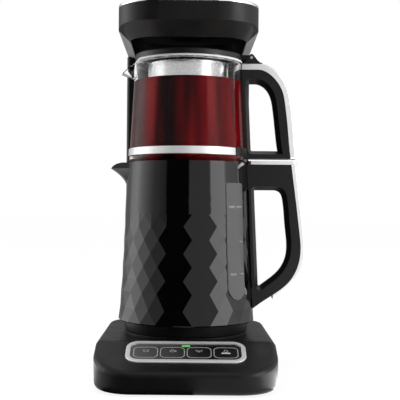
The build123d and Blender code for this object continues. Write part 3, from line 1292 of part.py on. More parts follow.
# ---------------------------------------------------------------- the whole tea maker
def all_pieces():
    pieces = {
        "base_housing": base_housing(),
        "base_bottom_cover": base_bottom_cover(),
        "base_feet": base_feet(),
        "base_screws": base_screws(),
        "panel_bezel": panel_bezel(),
        "panel_plate": panel_plate(),
        "status_light": status_light(),
        "key_switches": key_switches(),
        "control_board": control_board(),
        "board_screws": board_screws(),
        "seat_ring": seat_ring(),
        "base_connector": base_connector(),
        "water_coupling": water_coupling(),
        "inlet_hose": inlet_hose(),
        "pump": pump(),
        "riser_hose": riser_hose(),
        "riser_nozzle": riser_nozzle(),
        "power_board": power_board(),
        "cord_gland": cord_gland(),
        "column_shell": column_shell(),
        "column_back_cover": column_back_cover(),
        "column_screws": column_screws(),
        "back_cover_screws": back_cover_screws(),
        "hinge_pins": hinge_pins(),
        "head_shell": head_shell(),
        "head_trim": head_trim(),
        "head_underside": head_underside(),
        "head_liner": head_liner(),
        "head_screws": head_screws(),
        "head_duct": head_duct(),
        "shower_head": shower_head(),
        "kettle_body": kettle_body(),
        "kettle_plinth": kettle_plinth(),
        "kettle_socket": kettle_socket(),
        "kettle_valve": kettle_valve(),
        "heating_plate": heating_plate(),
        "kettle_mouth_ring": kettle_mouth_ring(),
        "gauge_window": gauge_window(),
        "kettle_handle": kettle_handle(),
        "kettle_handle_trim": kettle_handle_trim(),
        "handle_bar": handle_bar(),
        "handle_screws": handle_screws(),
        "teapot_glass": teapot_glass(),
        "tea": tea(),
        "infuser_basket": infuser_basket(),
        "teapot_band": teapot_band(),
        "teapot_handle": teapot_handle(),
        "teapot_handle_trim": teapot_handle_trim(),
        "lid_hinge_bracket": lid_hinge_bracket(),
        "lid_hinge_pin": lid_hinge_pin(),
        "teapot_lid": teapot_lid(),
        "lid_seal": lid_seal(),
    }
    for name, place in zip(KEY_NAMES, key_places()):
        pieces[name] = key(place)
    return pieces


os.makedirs("parts", exist_ok=True)
for node, shape in all_pieces().items():
    solids = shape if isinstance(shape, list) else [shape]
    export_step(Compound(children=[s for piece in solids for s in piece.solids()]), f"parts/{node}.step")
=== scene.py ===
"""Looks of the automatic tea maker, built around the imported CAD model. Metres, +Z up, front at -Y."""

import json
import math

import bpy
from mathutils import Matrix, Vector
from mathutils.bvhtree import BVHTree

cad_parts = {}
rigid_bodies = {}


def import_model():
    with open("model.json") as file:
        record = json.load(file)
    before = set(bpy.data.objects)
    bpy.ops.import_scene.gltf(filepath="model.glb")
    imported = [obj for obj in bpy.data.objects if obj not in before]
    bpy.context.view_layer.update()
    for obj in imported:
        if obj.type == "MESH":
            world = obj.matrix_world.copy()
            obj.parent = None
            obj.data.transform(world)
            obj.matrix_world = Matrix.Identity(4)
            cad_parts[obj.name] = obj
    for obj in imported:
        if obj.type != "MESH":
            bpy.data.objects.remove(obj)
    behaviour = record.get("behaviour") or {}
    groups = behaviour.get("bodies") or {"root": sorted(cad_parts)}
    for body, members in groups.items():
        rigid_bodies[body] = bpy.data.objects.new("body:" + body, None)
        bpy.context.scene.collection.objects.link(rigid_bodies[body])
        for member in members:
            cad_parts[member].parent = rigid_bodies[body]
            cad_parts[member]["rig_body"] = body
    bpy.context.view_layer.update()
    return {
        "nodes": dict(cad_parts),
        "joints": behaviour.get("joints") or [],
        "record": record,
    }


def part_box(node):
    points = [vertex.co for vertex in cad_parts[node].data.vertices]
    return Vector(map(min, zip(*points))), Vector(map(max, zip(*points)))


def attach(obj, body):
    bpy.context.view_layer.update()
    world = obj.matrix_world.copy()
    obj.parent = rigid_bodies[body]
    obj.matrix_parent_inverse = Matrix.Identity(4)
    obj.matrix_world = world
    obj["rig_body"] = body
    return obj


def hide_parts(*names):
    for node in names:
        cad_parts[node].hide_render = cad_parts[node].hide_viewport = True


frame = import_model()
nodes = frame["nodes"]
scene = bpy.context.scene
MM = 0.001


# ---------------------------------------------------------------- materials
def srgb(red, green, blue):
    """The linear colour of an 8-bit screen colour."""
    parts = [value / 255 for value in (red, green, blue)]
    linear = [part / 12.92 if part < 0.04045 else ((part + 0.055) / 1.055) ** 2.4 for part in parts]
    return linear + [1.0]


def grey(value):
    return srgb(value, value, value)


class Finish:
    """A Principled material, and short ways to give it grain, colour changes and relief."""

    def __init__(self, name, colour, roughness, **inputs):
        self.material = bpy.data.materials.new(name)
        self.material.use_nodes = True
        self.tree = self.material.node_tree
        self.shader = self.tree.nodes["Principled BSDF"]
        self.shader.inputs["Base Color"].default_value = colour
        self.shader.inputs["Roughness"].default_value = roughness
        for key, value in inputs.items():
            self.shader.inputs[key.replace("_", " ")].default_value = value

    def add(self, kind, **settings):
        node = self.tree.nodes.new(kind)
        for key, value in settings.items():
            setattr(node, key, value)
        return node

    def join(self, source, target):
        self.tree.links.new(source, target)

    def place(self):
        return self.add("ShaderNodeTexCoord").outputs["Object"]

    def noise(self, per_metre, detail=2.0, stretch=(1, 1, 1)):
        """Noise with that many features per metre along each axis, times stretch."""
        mapping = self.add("ShaderNodeMapping")
        mapping.inputs["Scale"].default_value = stretch
        self.join(self.place(), mapping.inputs["Vector"])
        texture = self.add("ShaderNodeTexNoise")
        texture.inputs["Scale"].default_value = per_metre
        texture.inputs["Detail"].default_value = detail
        self.join(mapping.outputs["Vector"], texture.inputs["Vector"])
        return texture.outputs["Fac"]

    def spread(self, value, low, high, start=0.3, end=0.7):
        """Value from start..end carried to low..high."""
        spread = self.add("ShaderNodeMapRange")
        for key, number in zip(("From Min", "From Max", "To Min", "To Max"), (start, end, low, high)):
            spread.inputs[key].default_value = number
        self.join(value, spread.inputs["Value"])
        return spread.outputs["Result"]

    def ramp(self, value, *stops):
        """Colours along a value; each stop is (position, colour)."""
        ramp = self.add("ShaderNodeValToRGB").color_ramp
        while len(ramp.elements) < len(stops):
            ramp.elements.new(0.5)
        for element, (position, colour) in zip(ramp.elements, stops):
            element.position = position
            element.color = colour
        node = self.tree.nodes[-1]
        self.join(value, node.inputs["Fac"])
        return node.outputs["Color"]

    def rough(self, value, low, high):
        self.join(self.spread(value, low, high), self.shader.inputs["Roughness"])
        return self

    def tint(self, value, *stops):
        self.join(self.ramp(value, *stops), self.shader.inputs["Base Color"])
        return self

    def relief(self, value, depth):
        """Bump from a value, depth metres high."""
        bump = self.add("ShaderNodeBump")
        bump.inputs["Distance"].default_value = depth
        self.join(value, bump.inputs["Height"])
        self.join(bump.outputs["Normal"], self.shader.inputs["Normal"])
        return self


def moulded(name, level, roughness, shine=0.25, grain=900.0, depth=0.008 * MM):
    """Moulded plastic or print: a fine spark-eroded grain and slightly uneven gloss."""
    finish = Finish(name, grey(level), roughness, Specular_IOR_Level=shine)
    finish.rough(finish.noise(45, 3.0), roughness - 0.04, roughness + 0.05)
    finish.tint(finish.noise(18, 2.0), (0.3, grey(level - 2)), (0.7, grey(level + 3)))
    return finish.relief(finish.noise(grain, 1.0), depth)


def lacquered():
    """The kettle's deep black lacquer."""
    finish = Finish("kettle_lacquer", grey(5), 0.05, Specular_IOR_Level=0.3)
    finish.rough(finish.noise(60, 3.0), 0.04, 0.07)
    return finish.tint(finish.noise(25), (0.3, grey(4)), (0.7, grey(7)))


def plated(name, level, roughness, metal=1.0):
    """Bright plating; with less metal it turns a milky satin whose near-white colour is a painted
    reflection of the plating.
    """
    finish = Finish(name, grey(level), roughness, Metallic=metal)
    finish.rough(finish.noise(140, 3.0), roughness * 0.9, roughness * 1.15)
    return finish.tint(finish.noise(40), (0.3, grey(level - 3)), (0.7, grey(level + 3)))


def brushed(name, level, roughness, stretch):
    """Sheet steel, brushed along the axis that stretch keeps lowest."""
    finish = Finish(name, grey(level), roughness, Metallic=1.0)
    lines = finish.noise(400, 4.0, stretch)
    finish.rough(lines, roughness - 0.08, roughness + 0.10)
    finish.tint(lines, (0.3, grey(level - 14)), (0.7, grey(level + 10)))
    return finish.relief(lines, 0.004 * MM)


def glassy(name, colour, roughness, ior, clear=1.0, mirror=0.1):
    """See-through matter; less clear means more body colour, less mirror means a quieter face."""
    tint = [mirror] * 3 + [1]
    finish = Finish(name, colour, roughness, Transmission_Weight=clear, IOR=ior, Specular_Tint=tint)
    return finish.rough(finish.noise(30, 2.0), roughness, roughness + 0.01)


def brew():
    """Strong tea: an opaque dark red, with upright paler and darker bands that are painted light and
    shade.
    """
    finish = Finish("tea_red", srgb(90, 6, 8), 0.12, Specular_IOR_Level=0.08)
    # Painted light and shade: upright pale and dark bands stand in for light bent through the glass.
    painted_light_bands = finish.noise(38, 2.0, (1, 1, 0.06))
    return finish.tint(
        painted_light_bands, (0.36, srgb(14, 0, 1)), (0.48, srgb(58, 1, 3)), (0.58, srgb(92, 3, 7)),
        (0.68, srgb(122, 10, 14)),
    )


def silicone():
    """The lid seal's milky silicone, streaked from the mould's draw."""
    finish = Finish("seal_silicone", grey(150), 0.35, Transmission_Weight=0.25)
    streaks = finish.noise(90, 2.0, (1, 1, 0.04))
    return finish.tint(streaks, (0.35, grey(96)), (0.5, grey(170)), (0.65, grey(222)))


def fascia(name, roughness):
    """The key panel's black film with a painted highlight: dark grey at the left, fading to black at
    the right.
    """
    finish = Finish(name, grey(40), roughness)
    across = finish.add("ShaderNodeSeparateXYZ")
    finish.join(finish.place(), across.inputs["Vector"])
    along = finish.spread(across.outputs["X"], 0, 1, -PANEL_HALF_WIDTH, PANEL_HALF_WIDTH)
    # The grey at the left is a painted highlight, not the film's own colour.
    finish.tint(along, (0.0, grey(92)), (0.35, grey(70)), (0.62, grey(30)), (0.85, grey(6)))
    return finish.relief(finish.noise(700, 1.0), 0.006 * MM)


def lit(name, colour, strength):
    finish = Finish(name, colour, 0.3, Emission_Color=colour, Emission_Strength=strength)
    glow = finish.noise(400, 1.0)
    return finish.tint(glow, (0.3, colour), (0.7, [min(1.0, part * 1.3) for part in colour]))


def circuit():
    """A green board with lighter tracks."""
    finish = Finish("circuit_green", srgb(18, 62, 34), 0.45)
    mapping = finish.add("ShaderNodeMapping")
    mapping.inputs["Rotation"].default_value = (0.5, 0.3, 0.4)
    finish.join(finish.place(), mapping.inputs["Vector"])
    tracks = finish.add("ShaderNodeTexBrick")
    tracks.inputs["Scale"].default_value = 160
    tracks.inputs["Color1"].default_value = srgb(16, 58, 32)
    tracks.inputs["Color2"].default_value = srgb(22, 74, 40)
    tracks.inputs["Mortar"].default_value = srgb(70, 120, 60)
    finish.join(mapping.outputs["Vector"], tracks.inputs["Vector"])
    finish.join(tracks.outputs["Color"], finish.shader.inputs["Base Color"])
    return finish.relief(tracks.outputs["Fac"], 0.03 * MM)


panel_low, panel_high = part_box("panel_plate")
PANEL_HALF_WIDTH = (panel_high.x - panel_low.x) / 2

HOUSING = moulded("housing_satin", 20, 0.34, shine=0.2).material
LINER = moulded("liner_matt", 12, 0.5).material
GRIP = moulded("grip_satin", 24, 0.36, grain=1100.0).material
SEAL = moulded("seal_rubber", 24, 0.62, grain=500.0).material
SILICONE = silicone().material
# Black plastic made darker and duller than the housing: partly the plinth's own black, partly painted
# shade under the kettle, where the seat ring sits.
PLINTH_AND_PAINTED_SHADE = moulded("plinth_matt_and_painted_shade", 8, 0.45, shine=0.1).material
# The head's underside is black satin plastic; its light grey here is a painted reflection of the pale
# room at that slant.
CHEEK_PAINTED_REFLECTION = moulded("cheek_painted_reflection", 150, 0.34).material
LACQUER = lacquered().material
CHROME = plated("bright_chrome", 240, 0.16).material
# The chrome bezel and band get a near-white, mostly matt colour: a painted reflection standing in for
# their bright plating.
SILVER_PAINTED_REFLECTION = plated("silver_painted_reflection", 238, 0.3, metal=0.3).material
STEEL = brushed("brushed_steel", 196, 0.26, (1, 1, 12)).material
GLASS = glassy("clear_glass", grey(252), 0.0, 1.2).material
# Nearly opaque white glass for the rim: a painted highlight along the edge.
RIM_PAINTED_HIGHLIGHT = glassy("rim_painted_highlight", grey(252), 0.1, 1.47, clear=0.15, mirror=1.0).material
GAUGE = glassy("gauge_smoke", grey(140), 0.3, 1.45, clear=0.4).material
TEA_WITH_PAINTED_BANDS = brew().material
FASCIA_PAINTED_HIGHLIGHT = fascia("fascia_film_painted_highlight", 0.3).material
PRINT = moulded("printed_grey", 190, 0.4).material
BRIGHT_PRINT = moulded("printed_white", 240, 0.4).material
GREEN = lit("status_green", srgb(100, 190, 92), 0.35).material
BOARD = circuit().material

FINISHES = {
    "housing_black": HOUSING, "inner_black": LINER, "grip_black": GRIP, "kettle_black": LACQUER,
    "rubber_black": SEAL, "chrome_trim": CHROME, "fascia_black": FASCIA_PAINTED_HIGHLIGHT, "key_black": FASCIA_PAINTED_HIGHLIGHT,
    "light_green": GREEN, "circuit_board": BOARD, "steel": STEEL, "clear_glass": GLASS,
    "gauge_clear": GAUGE, "tea_red": TEA_WITH_PAINTED_BANDS, "silicone_grey": SILICONE,
}
OWN_FINISH = {
    "panel_bezel": SILVER_PAINTED_REFLECTION, "teapot_band": SILVER_PAINTED_REFLECTION, "kettle_plinth": PLINTH_AND_PAINTED_SHADE, "seat_ring": PLINTH_AND_PAINTED_SHADE,
    "head_underside": CHEEK_PAINTED_REFLECTION,
}


def dress_frame():
    """Gives every CAD node the finish of its slot in the record, or its own."""
    for entry in frame["record"]["subparts"]:
        name = entry["node"]
        mesh = nodes[name].data
        mesh.materials.clear()
        mesh.materials.append(OWN_FINISH.get(name, FINISHES[entry["material_slot"]]))


# ---------------------------------------------------------------- building pieces
def piece(name, points, faces, material, body, smooth=True):
    """A mesh piece that rides on a body."""
    mesh = bpy.data.meshes.new(name)
    mesh.from_pydata([tuple(point) for point in points], [], faces)
    mesh.validate()
    if smooth:
        mesh.shade_smooth()
    else:
        mesh.shade_flat()
    mesh.materials.append(material)
    thing = bpy.data.objects.new(name, mesh)
    scene.collection.objects.link(thing)
    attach(thing, body)
    return thing


def loop_mesh(path, radius, sides=12):
    """Points and faces of a round tube along a closed path."""
    points, faces = [], []
    count = len(path)
    for n, middle in enumerate(path):
        along = (path[(n + 1) % count] - path[n - 1]).normalized()
        side = along.cross(Vector((0, 0, 1))).normalized()
        up = side.cross(along)
        for step in range(sides):
            turn = math.tau * step / sides
            points.append(middle + radius * (math.cos(turn) * side + math.sin(turn) * up))
    for n in range(count):
        for step in range(sides):
            here, there = n * sides, (n + 1) % count * sides
            after = (step + 1) % sides
            faces.append((here + step, here + after, there + after, there + step))
    return points, faces


OUTSIDE = 0.4            # further out than any node
skins = {}


def on_skin(node, angle, height):
    """The outermost point of a node at a height and an angle from the front towards +X, or None."""
    if node not in skins:
        mesh = nodes[node].data
        mesh.calc_loop_triangles()
        corners = [vertex.co for vertex in mesh.vertices]
        skins[node] = BVHTree.FromPolygons(corners, [tri.vertices for tri in mesh.loop_triangles])
    outwards = Vector((math.sin(angle), -math.cos(angle), 0))
    start = outwards * OUTSIDE + Vector((0, 0, height))
    return skins[node].ray_cast(start, -outwards)[0]


# ---------------------------------------------------------------- the tea
def tea():
    """The tea, wetting the glass all the way up, with a small meniscus at the wall."""
    low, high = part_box("tea")
    wet, rise, curl, lip, inset, steps = 0.5 * MM, 1.0 * MM, 2.5 * MM, 0.6 * MM, 0.2 * MM, 24
    foot, brim = low.z + inset, high.z - inset
    levels = [foot + (brim - foot) * n / steps for n in range(steps + 1)]
    wall = [(on_skin("tea", 0.0, level).xy.length + wet, level) for level in levels]
    edge = wall[-1][0]
    floor_r = wall[0][0] - wet
    profile = [(floor_r, low.z - wet)] + wall
    profile += [(edge, high.z + rise), (edge - lip, high.z + 0.5 * rise), (edge - curl, high.z)]
    sides, rings = 128, len(profile)
    points, faces = [], []
    for step in range(sides):
        turn = math.tau * step / sides
        points += [Vector((r * math.sin(turn), -r * math.cos(turn), z)) for r, z in profile]
    for step in range(sides):
        here, there = step * rings, (step + 1) % sides * rings
        for n in range(rings - 1):
            faces.append((here + n, there + n, there + n + 1, here + n + 1))
    faces.append(tuple(step * rings for step in range(sides))[::-1])
    faces.append(tuple(step * rings + rings - 1 for step in range(sides)))
    brewed = piece("brewed_tea", points, faces, TEA_WITH_PAINTED_BANDS, "teapot")
    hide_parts("tea")


# ---------------------------------------------------------------- the glass rim
def glass_rim():
    """The fire-polished bead along the glass's edge, down to the spout's tip, in a milky white that is
    a painted highlight.
    """
    _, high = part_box("teapot_glass")
    bead, sink, start, descent, count, path = 1.1 * MM, 0.88 * MM, 0.2 * MM, 0.25 * MM, 240, []
    for n in range(count):
        angle = math.tau * n / count
        outwards = Vector((math.sin(angle), -math.cos(angle), 0))
        height = high.z - start
        point = on_skin("teapot_glass", angle, height)
        while point is None or point.dot(outwards) < 0:
            height -= descent
            point = on_skin("teapot_glass", angle, height)
        path.append(point - outwards * bead - Vector((0, 0, sink)))
    points, faces = loop_mesh(path, bead)
    piece("glass_rim_bead", points, faces, RIM_PAINTED_HIGHLIGHT, "teapot")


# ---------------------------------------------------------------- gauge marks
# Each letter as strokes in a box that is 1 wide and 1 tall.
LETTERS = {
    "M": [[(0, 0), (0, 1), (0.5, 0.35), (1, 1), (1, 0)]],
    "A": [[(0, 0), (0.5, 1), (1, 0), (0.8, 0.35), (0.2, 0.35)]],
    "X": [[(0, 0), (1, 1)], [(0, 1), (1, 0)]],
    "I": [[(0.5, 0), (0.5, 1)]],
    "N": [[(0, 0), (0, 1), (1, 0), (1, 1)]],
}
# The gauge's marks: name, height in mm, the tick's span, and a word and where it starts, in degrees.
GAUGE_MARKS = (
    ("full", 180.5, (49.5, 58.5), "MAX", 40.4),
    ("half", 144.5, (53.2, 58.2), "", 0),
    ("least", 111.4, (53.6, 57.8), "MIN", 41.0),
)


def skin_stroke(node, line, width, lift):
    """A raised stroke along a line of (angle in degrees, height in mm) on a turned skin."""
    spots = [on_skin(node, math.radians(angle), height * MM) for angle, height in line]
    points, faces = [], []
    last = len(spots) - 1
    for n, spot in enumerate(spots):
        along = (spots[min(n + 1, last)] - spots[max(n - 1, 0)]).normalized()
        out = Vector((spot.x, spot.y, 0)).normalized()
        side = out.cross(along).normalized() * width / 2
        points += [spot + side - out * lift, spot + side + out * lift]
        points += [spot - side + out * lift, spot - side - out * lift]
    for n in range(last):
        for side in range(4):
            after = (side + 1) % 4
            faces.append((n * 4 + side, n * 4 + 4 + side, n * 4 + 4 + after, n * 4 + after))
    faces += [(0, 1, 2, 3), (last * 4 + 3, last * 4 + 2, last * 4 + 1, last * 4)]
    return points, faces


def gauge_marks():
    """Full, half and least levels printed on the gauge, with generic words."""
    lift, tick_width, letter_width = 0.08 * MM, 0.55 * MM, 0.4 * MM
    tall, wide, pitch = 2.4, 1.5, 2.2   # a letter's height in mm, its width and step in degrees
    tick_steps = 6
    for name, height, (begin, end), word, start in GAUGE_MARKS:
        angles = [begin + (end - begin) * n / tick_steps for n in range(tick_steps + 1)]
        tick = [(angle, height) for angle in angles]
        meshes = [skin_stroke("gauge_window", tick, tick_width, lift)]
        for place, letter in enumerate(word):
            left = start + place * pitch
            for line in LETTERS[letter]:
                shape = [(left + x * wide, height + (y - 0.5) * tall) for x, y in line]
                meshes.append(skin_stroke("gauge_window", shape, letter_width, lift))
        points, faces = merged(meshes)
        piece("gauge_" + name, points, faces, BRIGHT_PRINT, "kettle", False)


# ---------------------------------------------------------------- key panel print
PRINT_SINK = 0.02 * MM   # how far a print's underside lies in the surface


def key_frames():
    """Each key's top: its middle, and the directions across, up the slope and out of it."""
    out = Vector(next(j["axis"] for j in frame["joints"] if j["name"] == "boil_press")) * -1
    across = Vector((1, 0, 0))
    upwards = out.cross(across)
    places = {}
    for name in ("boil_key", "tea_key", "brew_key", "warm_key"):
        corners = [vertex.co for vertex in nodes[name].data.vertices]
        top = max(point.dot(out) for point in corners)
        face = [point for point in corners if top - point.dot(out) < 1.0 * MM]
        spans = [[point.dot(way) for point in face] for way in (across, upwards)]
        middle = [(min(span) + max(span)) / 2 for span in spans]
        size = [max(span) - min(span) for span in spans]
        origin = across * middle[0] + upwards * middle[1] + out * top
        places[name] = (origin, across, upwards, out, size)
    return places


def rounded_outline(width, height, radius, steps=6):
    """A rectangle with round corners, as (x, y) round its middle."""
    outline = []
    for corner, (sx, sy) in enumerate(((1, 1), (-1, 1), (-1, -1), (1, -1))):
        for step in range(steps + 1):
            turn = math.pi / 2 * (corner + step / steps)
            x = sx * (width / 2 - radius) + radius * math.cos(turn)
            y = sy * (height / 2 - radius) + radius * math.sin(turn)
            outline.append((x, y))
    return outline


def raised_ring(place, outer, inner, height):
    """A flat ring between two outlines of equal length, raised on a plane."""
    origin, across, upwards, out, _ = place
    points, faces = [], []
    count = len(outer)
    for outline, rise in ((outer, -PRINT_SINK), (outer, height), (inner, height), (inner, -PRINT_SINK)):
        points += [origin + across * x + upwards * y + out * rise for x, y in outline]
    for n in range(count):
        after = (n + 1) % count
        for ring in range(4):
            here, there = ring * count, (ring + 1) % 4 * count
            faces.append((here + n, here + after, there + after, there + n))
    return points, faces


def stroke(place, line, width, height, closed=False):
    """A raised stroke along a flat line of (x, y) on a plane."""
    origin, across, upwards, out, _ = place
    count = len(line)
    sides = []
    for n, (x, y) in enumerate(line):
        here = Vector((x, y))
        ahead = Vector(line[(n + 1) % count]) if closed or n < count - 1 else here
        behind = Vector(line[n - 1]) if closed or n > 0 else here
        along = (ahead - behind).normalized()
        normal = Vector((-along.y, along.x)) * width / 2
        sides.append((here + normal, here - normal))
    points, faces = [], []
    for left, right in sides:
        for flat, rise in ((left, -PRINT_SINK), (left, height), (right, height), (right, -PRINT_SINK)):
            points.append(origin + across * flat.x + upwards * flat.y + out * rise)
    for n in range(count if closed else count - 1):
        here, there = n * 4, (n + 1) % count * 4
        for side in range(4):
            after = (side + 1) % 4
            faces.append((here + side, there + side, there + after, here + after))
    if not closed:
        faces.append((0, 1, 2, 3))
        last = (count - 1) * 4
        faces.append((last + 3, last + 2, last + 1, last))
    return points, faces


def arc(x, y, radius, start, end, steps=16):
    """Points on a circle round (x, y), from one angle to another in degrees."""
    turns = [math.radians(start + (end - start) * n / steps) for n in range(steps + 1)]
    return [(x + radius * math.cos(turn), y + radius * math.sin(turn)) for turn in turns]


def merged(meshes):
    """Several (points, faces) as one."""
    points, faces = [], []
    for some_points, some_faces in meshes:
        shift = len(points)
        points += some_points
        faces += [tuple(index + shift for index in face) for face in some_faces]
    return points, faces


def icon_lines(name):
    """The strokes of each key's sign, as (line, closed), in millimetres from the key's middle."""
    if name == "boil_key":
        pot = [(-2.0, 1.0), (2.0, 1.0), (1.5, 4.6), (-1.5, 4.6)]
        grip, spout = arc(1.8, 2.9, 1.2, -80, 80), [(-1.9, 3.6), (-3.0, 4.8)]
        return [(pot, True), (grip, False), (spout, False)]
    if name == "tea_key":
        cup, grip = arc(0, 3.4, 2.6, 180, 360), arc(2.9, 2.6, 0.9, -100, 100)
        steam = [[(x, 4.4), (x + 0.5, 5.3), (x, 6.2)] for x in (-0.9, 0.8)]
        return [(cup, True), (grip, False), (steam[0], False), (steam[1], False)]
    if name == "brew_key":
        left = [(0, 0.8), (-2.6, 2.2), (-3.2, 5.2), (-0.6, 3.8)]
        return [(left, True), ([(-x, y) for x, y in left], True)]
    bell = [(-2.6, 1.6), (2.6, 1.6), (1.6, 2.8), (1.3, 4.8), (0, 5.8), (-1.3, 4.8), (-1.6, 2.8)]
    return [(bell, True), ([(-0.5, 0.8), (0.5, 0.8)], False)]


def key_print():
    """The outline and the sign printed on each key, and a bar under the last sign."""
    raised, line_width, edge_gap = 0.1 * MM, 0.55 * MM, 0.25 * MM
    ring_width, outer_r, inner_r = 0.75 * MM, 5.6 * MM, 4.9 * MM
    bar_reach, bar_y, bar_width = 4.4 * MM, -0.9 * MM, 1.8 * MM
    places = key_frames()
    for name, place in places.items():
        body = name_body(name)
        width, length = (size - 2 * edge_gap for size in place[4])
        outer = rounded_outline(width, length, outer_r)
        inner = rounded_outline(width - 2 * ring_width, length - 2 * ring_width, inner_r)
        points, faces = raised_ring(place, outer, inner, raised)
        piece(name.replace("_key", "_outline"), points, faces, PRINT, body, False)
        strokes = []
        for line, closed in icon_lines(name):
            scaled = [(x * MM, y * MM) for x, y in line]
            strokes.append(stroke(place, scaled, line_width, raised, closed))
        points, faces = merged(strokes)
        piece(name.replace("_key", "_sign"), points, faces, PRINT, body, False)
    bar = [(-bar_reach, bar_y), (bar_reach, bar_y)]
    points, faces = stroke(places["warm_key"], bar, bar_width, raised)
    piece("warm_bar", points, faces, BRIGHT_PRINT, "key_warm", False)


def name_body(node):
    """The body that a CAD node belongs to."""
    return nodes[node]["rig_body"]


# ---------------------------------------------------------------- studio
class Tree:
    """Short ways to build the studio's own node trees."""

    def __init__(self, holder):
        holder.use_nodes = True
        self.tree = holder.node_tree
        self.tree.nodes.clear()

    def add(self, kind, inputs=(), **settings):
        """A node's outputs; each of inputs is a value or the output that feeds it."""
        node = self.tree.nodes.new(kind)
        for key, value in settings.items():
            setattr(node, key, value)
        for socket, value in zip(node.inputs, inputs):
            if isinstance(value, bpy.types.NodeSocket):
                self.tree.links.new(value, socket)
            else:
                socket.default_value = value
        return node.outputs

    def math(self, operation, *values):
        return self.add("ShaderNodeMath", values, operation=operation)["Value"]

    def mix(self, share, first, second):
        return self.add("ShaderNodeMixShader", (share, first, second))["Shader"]

    def looks(self):
        """1 for rays that look at the backdrop itself, and 1 for those that surfaces mirror."""
        path = self.add("ShaderNodeLightPath")
        seen = self.math("MAXIMUM", path["Is Camera Ray"], path["Is Transmission Ray"])
        return seen, path["Is Glossy Ray"]

    def room(self, direction):
        """The brightness of the room's side that lies in a direction, and the direction's height."""
        parts = self.add("ShaderNodeSeparateXYZ", (direction,))
        turn = self.math("ARCTAN2", parts["X"], self.math("MULTIPLY", parts["Y"], -1.0))
        share = self.math("MULTIPLY_ADD", turn, 1 / math.tau, 0.5)
        colours = self.add("ShaderNodeValToRGB", (share,))
        ramp = self.tree.nodes[-1].color_ramp
        while len(ramp.elements) < len(ROOM_SIDES):
            ramp.elements.new(0.5)
        for element, (angle, level) in zip(ramp.elements, ROOM_SIDES):
            element.position = angle / 360 + 0.5
            element.color = [level / ROOM_PEAK] * 3 + [1]
        return self.math("MULTIPLY", colours["Color"], ROOM_PEAK), parts["Z"]


def studio_world():
    """White to look at, an even fill for soft light, and a room of pale and dark sides to mirror."""
    world = bpy.data.worlds.new("studio")
    scene.world = world
    tree = Tree(world)
    seen, mirrored = tree.looks()
    side, height = tree.room(tree.add("ShaderNodeTexCoord")["Generated"])
    above = tree.add("ShaderNodeMapRange", (height, *OVERHEAD_RISE, 0, 1))["Result"]
    level = tree.math("ADD", side, tree.math("MULTIPLY", above, tree.math("SUBTRACT", OVERHEAD, side)))
    plain, fill, room = (
        tree.add("ShaderNodeBackground", (WHITE, strength))["Background"]
        for strength in (1.0, FILL, level)
    )
    shown = tree.mix(seen, tree.mix(mirrored, fill, room), plain)
    tree.add("ShaderNodeOutputWorld", (shown,))


def floor():
    """A large pale disc: white with a soft shadow to look at, and the room's sides in mirrors."""
    sides, radius, drop = 128, 30.0, -0.1 * MM
    turns = [math.tau * n / sides for n in range(sides)]
    points = [(radius * math.cos(turn), radius * math.sin(turn), drop) for turn in turns]
    mesh = bpy.data.meshes.new("floor")
    mesh.from_pydata(points, [], [tuple(range(sides))])
    disc = bpy.data.objects.new("floor", mesh)
    scene.collection.objects.link(disc)
    material = bpy.data.materials.new("pale_floor")
    tree = Tree(material)
    seen, mirrored = tree.looks()
    side, _ = tree.room(tree.add("ShaderNodeTexCoord")["Object"])
    paint, shade = (
        tree.add("ShaderNodeBsdfDiffuse", ((level, level, level, 1),))["BSDF"]
        for level in (FLOOR_PAINT, FLOOR_SHADE)
    )
    white = tree.add("ShaderNodeEmission", (WHITE, FLOOR_GLOW))["Emission"]
    room = tree.add("ShaderNodeEmission", (WHITE, side))["Emission"]
    shown = tree.add("ShaderNodeAddShader", (shade, white))["Shader"]
    shaded = tree.mix(seen, paint, shown)
    tree.add("ShaderNodeOutputMaterial", (tree.mix(mirrored, shaded, room),))
    mesh.materials.append(material)


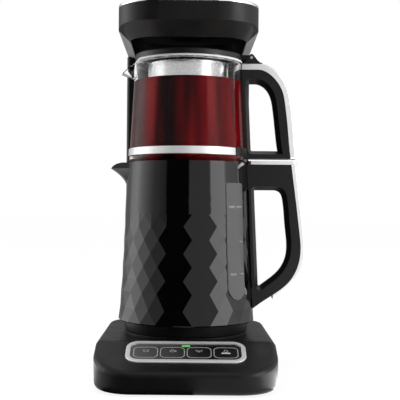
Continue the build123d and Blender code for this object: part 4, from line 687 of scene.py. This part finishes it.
def softbox(name, angle, distance, height, width, tall, radiance):
    """A soft light at an angle from the front towards +X, aimed at the object's middle."""
    light = bpy.data.lights.new(name, "AREA")
    light.shape = "RECTANGLE"
    light.size, light.size_y = width, tall
    light.energy = radiance * math.pi * width * tall
    lamp = bpy.data.objects.new(name, light)
    turn = math.radians(angle)
    lamp.location = (distance * math.sin(turn), -distance * math.cos(turn), height)
    aim = Vector((0, 0, OBJECT_MIDDLE)) - lamp.location
    lamp.rotation_euler = aim.to_track_quat("-Z", "Y").to_euler()
    lamp.visible_glossy = False
    scene.collection.objects.link(lamp)


WHITE = (1, 1, 1, 1)
OBJECT_MIDDLE = 0.2
FILL = 0.45              # the world's even light on matt surfaces
FLOOR_PAINT = 0.9
FLOOR_GLOW = 0.88        # with the share that takes shadows, the open floor is white to look at
FLOOR_SHADE = 0.25
OVERHEAD = 0.9           # what polished surfaces mirror from above
OVERHEAD_RISE = (0.45, 0.7)
ROOM_PEAK = 5.2
# What polished surfaces mirror, by angle in degrees from the front towards +X: a dim back, pale
# walls, a black card at the front left and tall bright boxes at the left and right.
ROOM_SIDES = (
    (-180, 0.3), (-150, 0.3), (-135, 0.6), (-106, 3.5), (-82, 2.1), (-64, 0.95), (-40, 0.45),
    (-38, 0.0), (3, 0.0), (4, 1.0), (43, 1.05), (45, 5.2), (73, 5.2), (78, 2.2), (105, 1.2),
    (140, 0.4), (180, 0.3),
)
CAMERA_PLACE = (0, -0.940, 0.1747)
CAMERA_LENS = 78.3
CAMERA_SHIFT = (0.0325, 0.03)
CAMERA_ROLL = -0.5       # degrees


def studio():
    studio_world()
    floor()
    softbox("right_box", 52, 1.3, 0.45, 0.55, 1.3, 2.2)
    softbox("left_box", -88, 1.3, 0.45, 0.8, 1.3, 1.0)
    softbox("top_box", -20, 0.5, 1.5, 1.2, 1.0, 1.0)
    camera_data = bpy.data.cameras.new("camera")
    camera_data.sensor_width = 36.0
    camera_data.lens = CAMERA_LENS
    camera_data.shift_x, camera_data.shift_y = CAMERA_SHIFT
    camera = bpy.data.objects.new("camera", camera_data)
    camera.location = CAMERA_PLACE
    camera.rotation_euler = (math.radians(90), math.radians(CAMERA_ROLL), 0)
    scene.collection.objects.link(camera)
    scene.camera = camera
    scene.view_settings.view_transform = "Standard"


dress_frame()
tea()
glass_rim()
gauge_marks()
key_print()
studio()
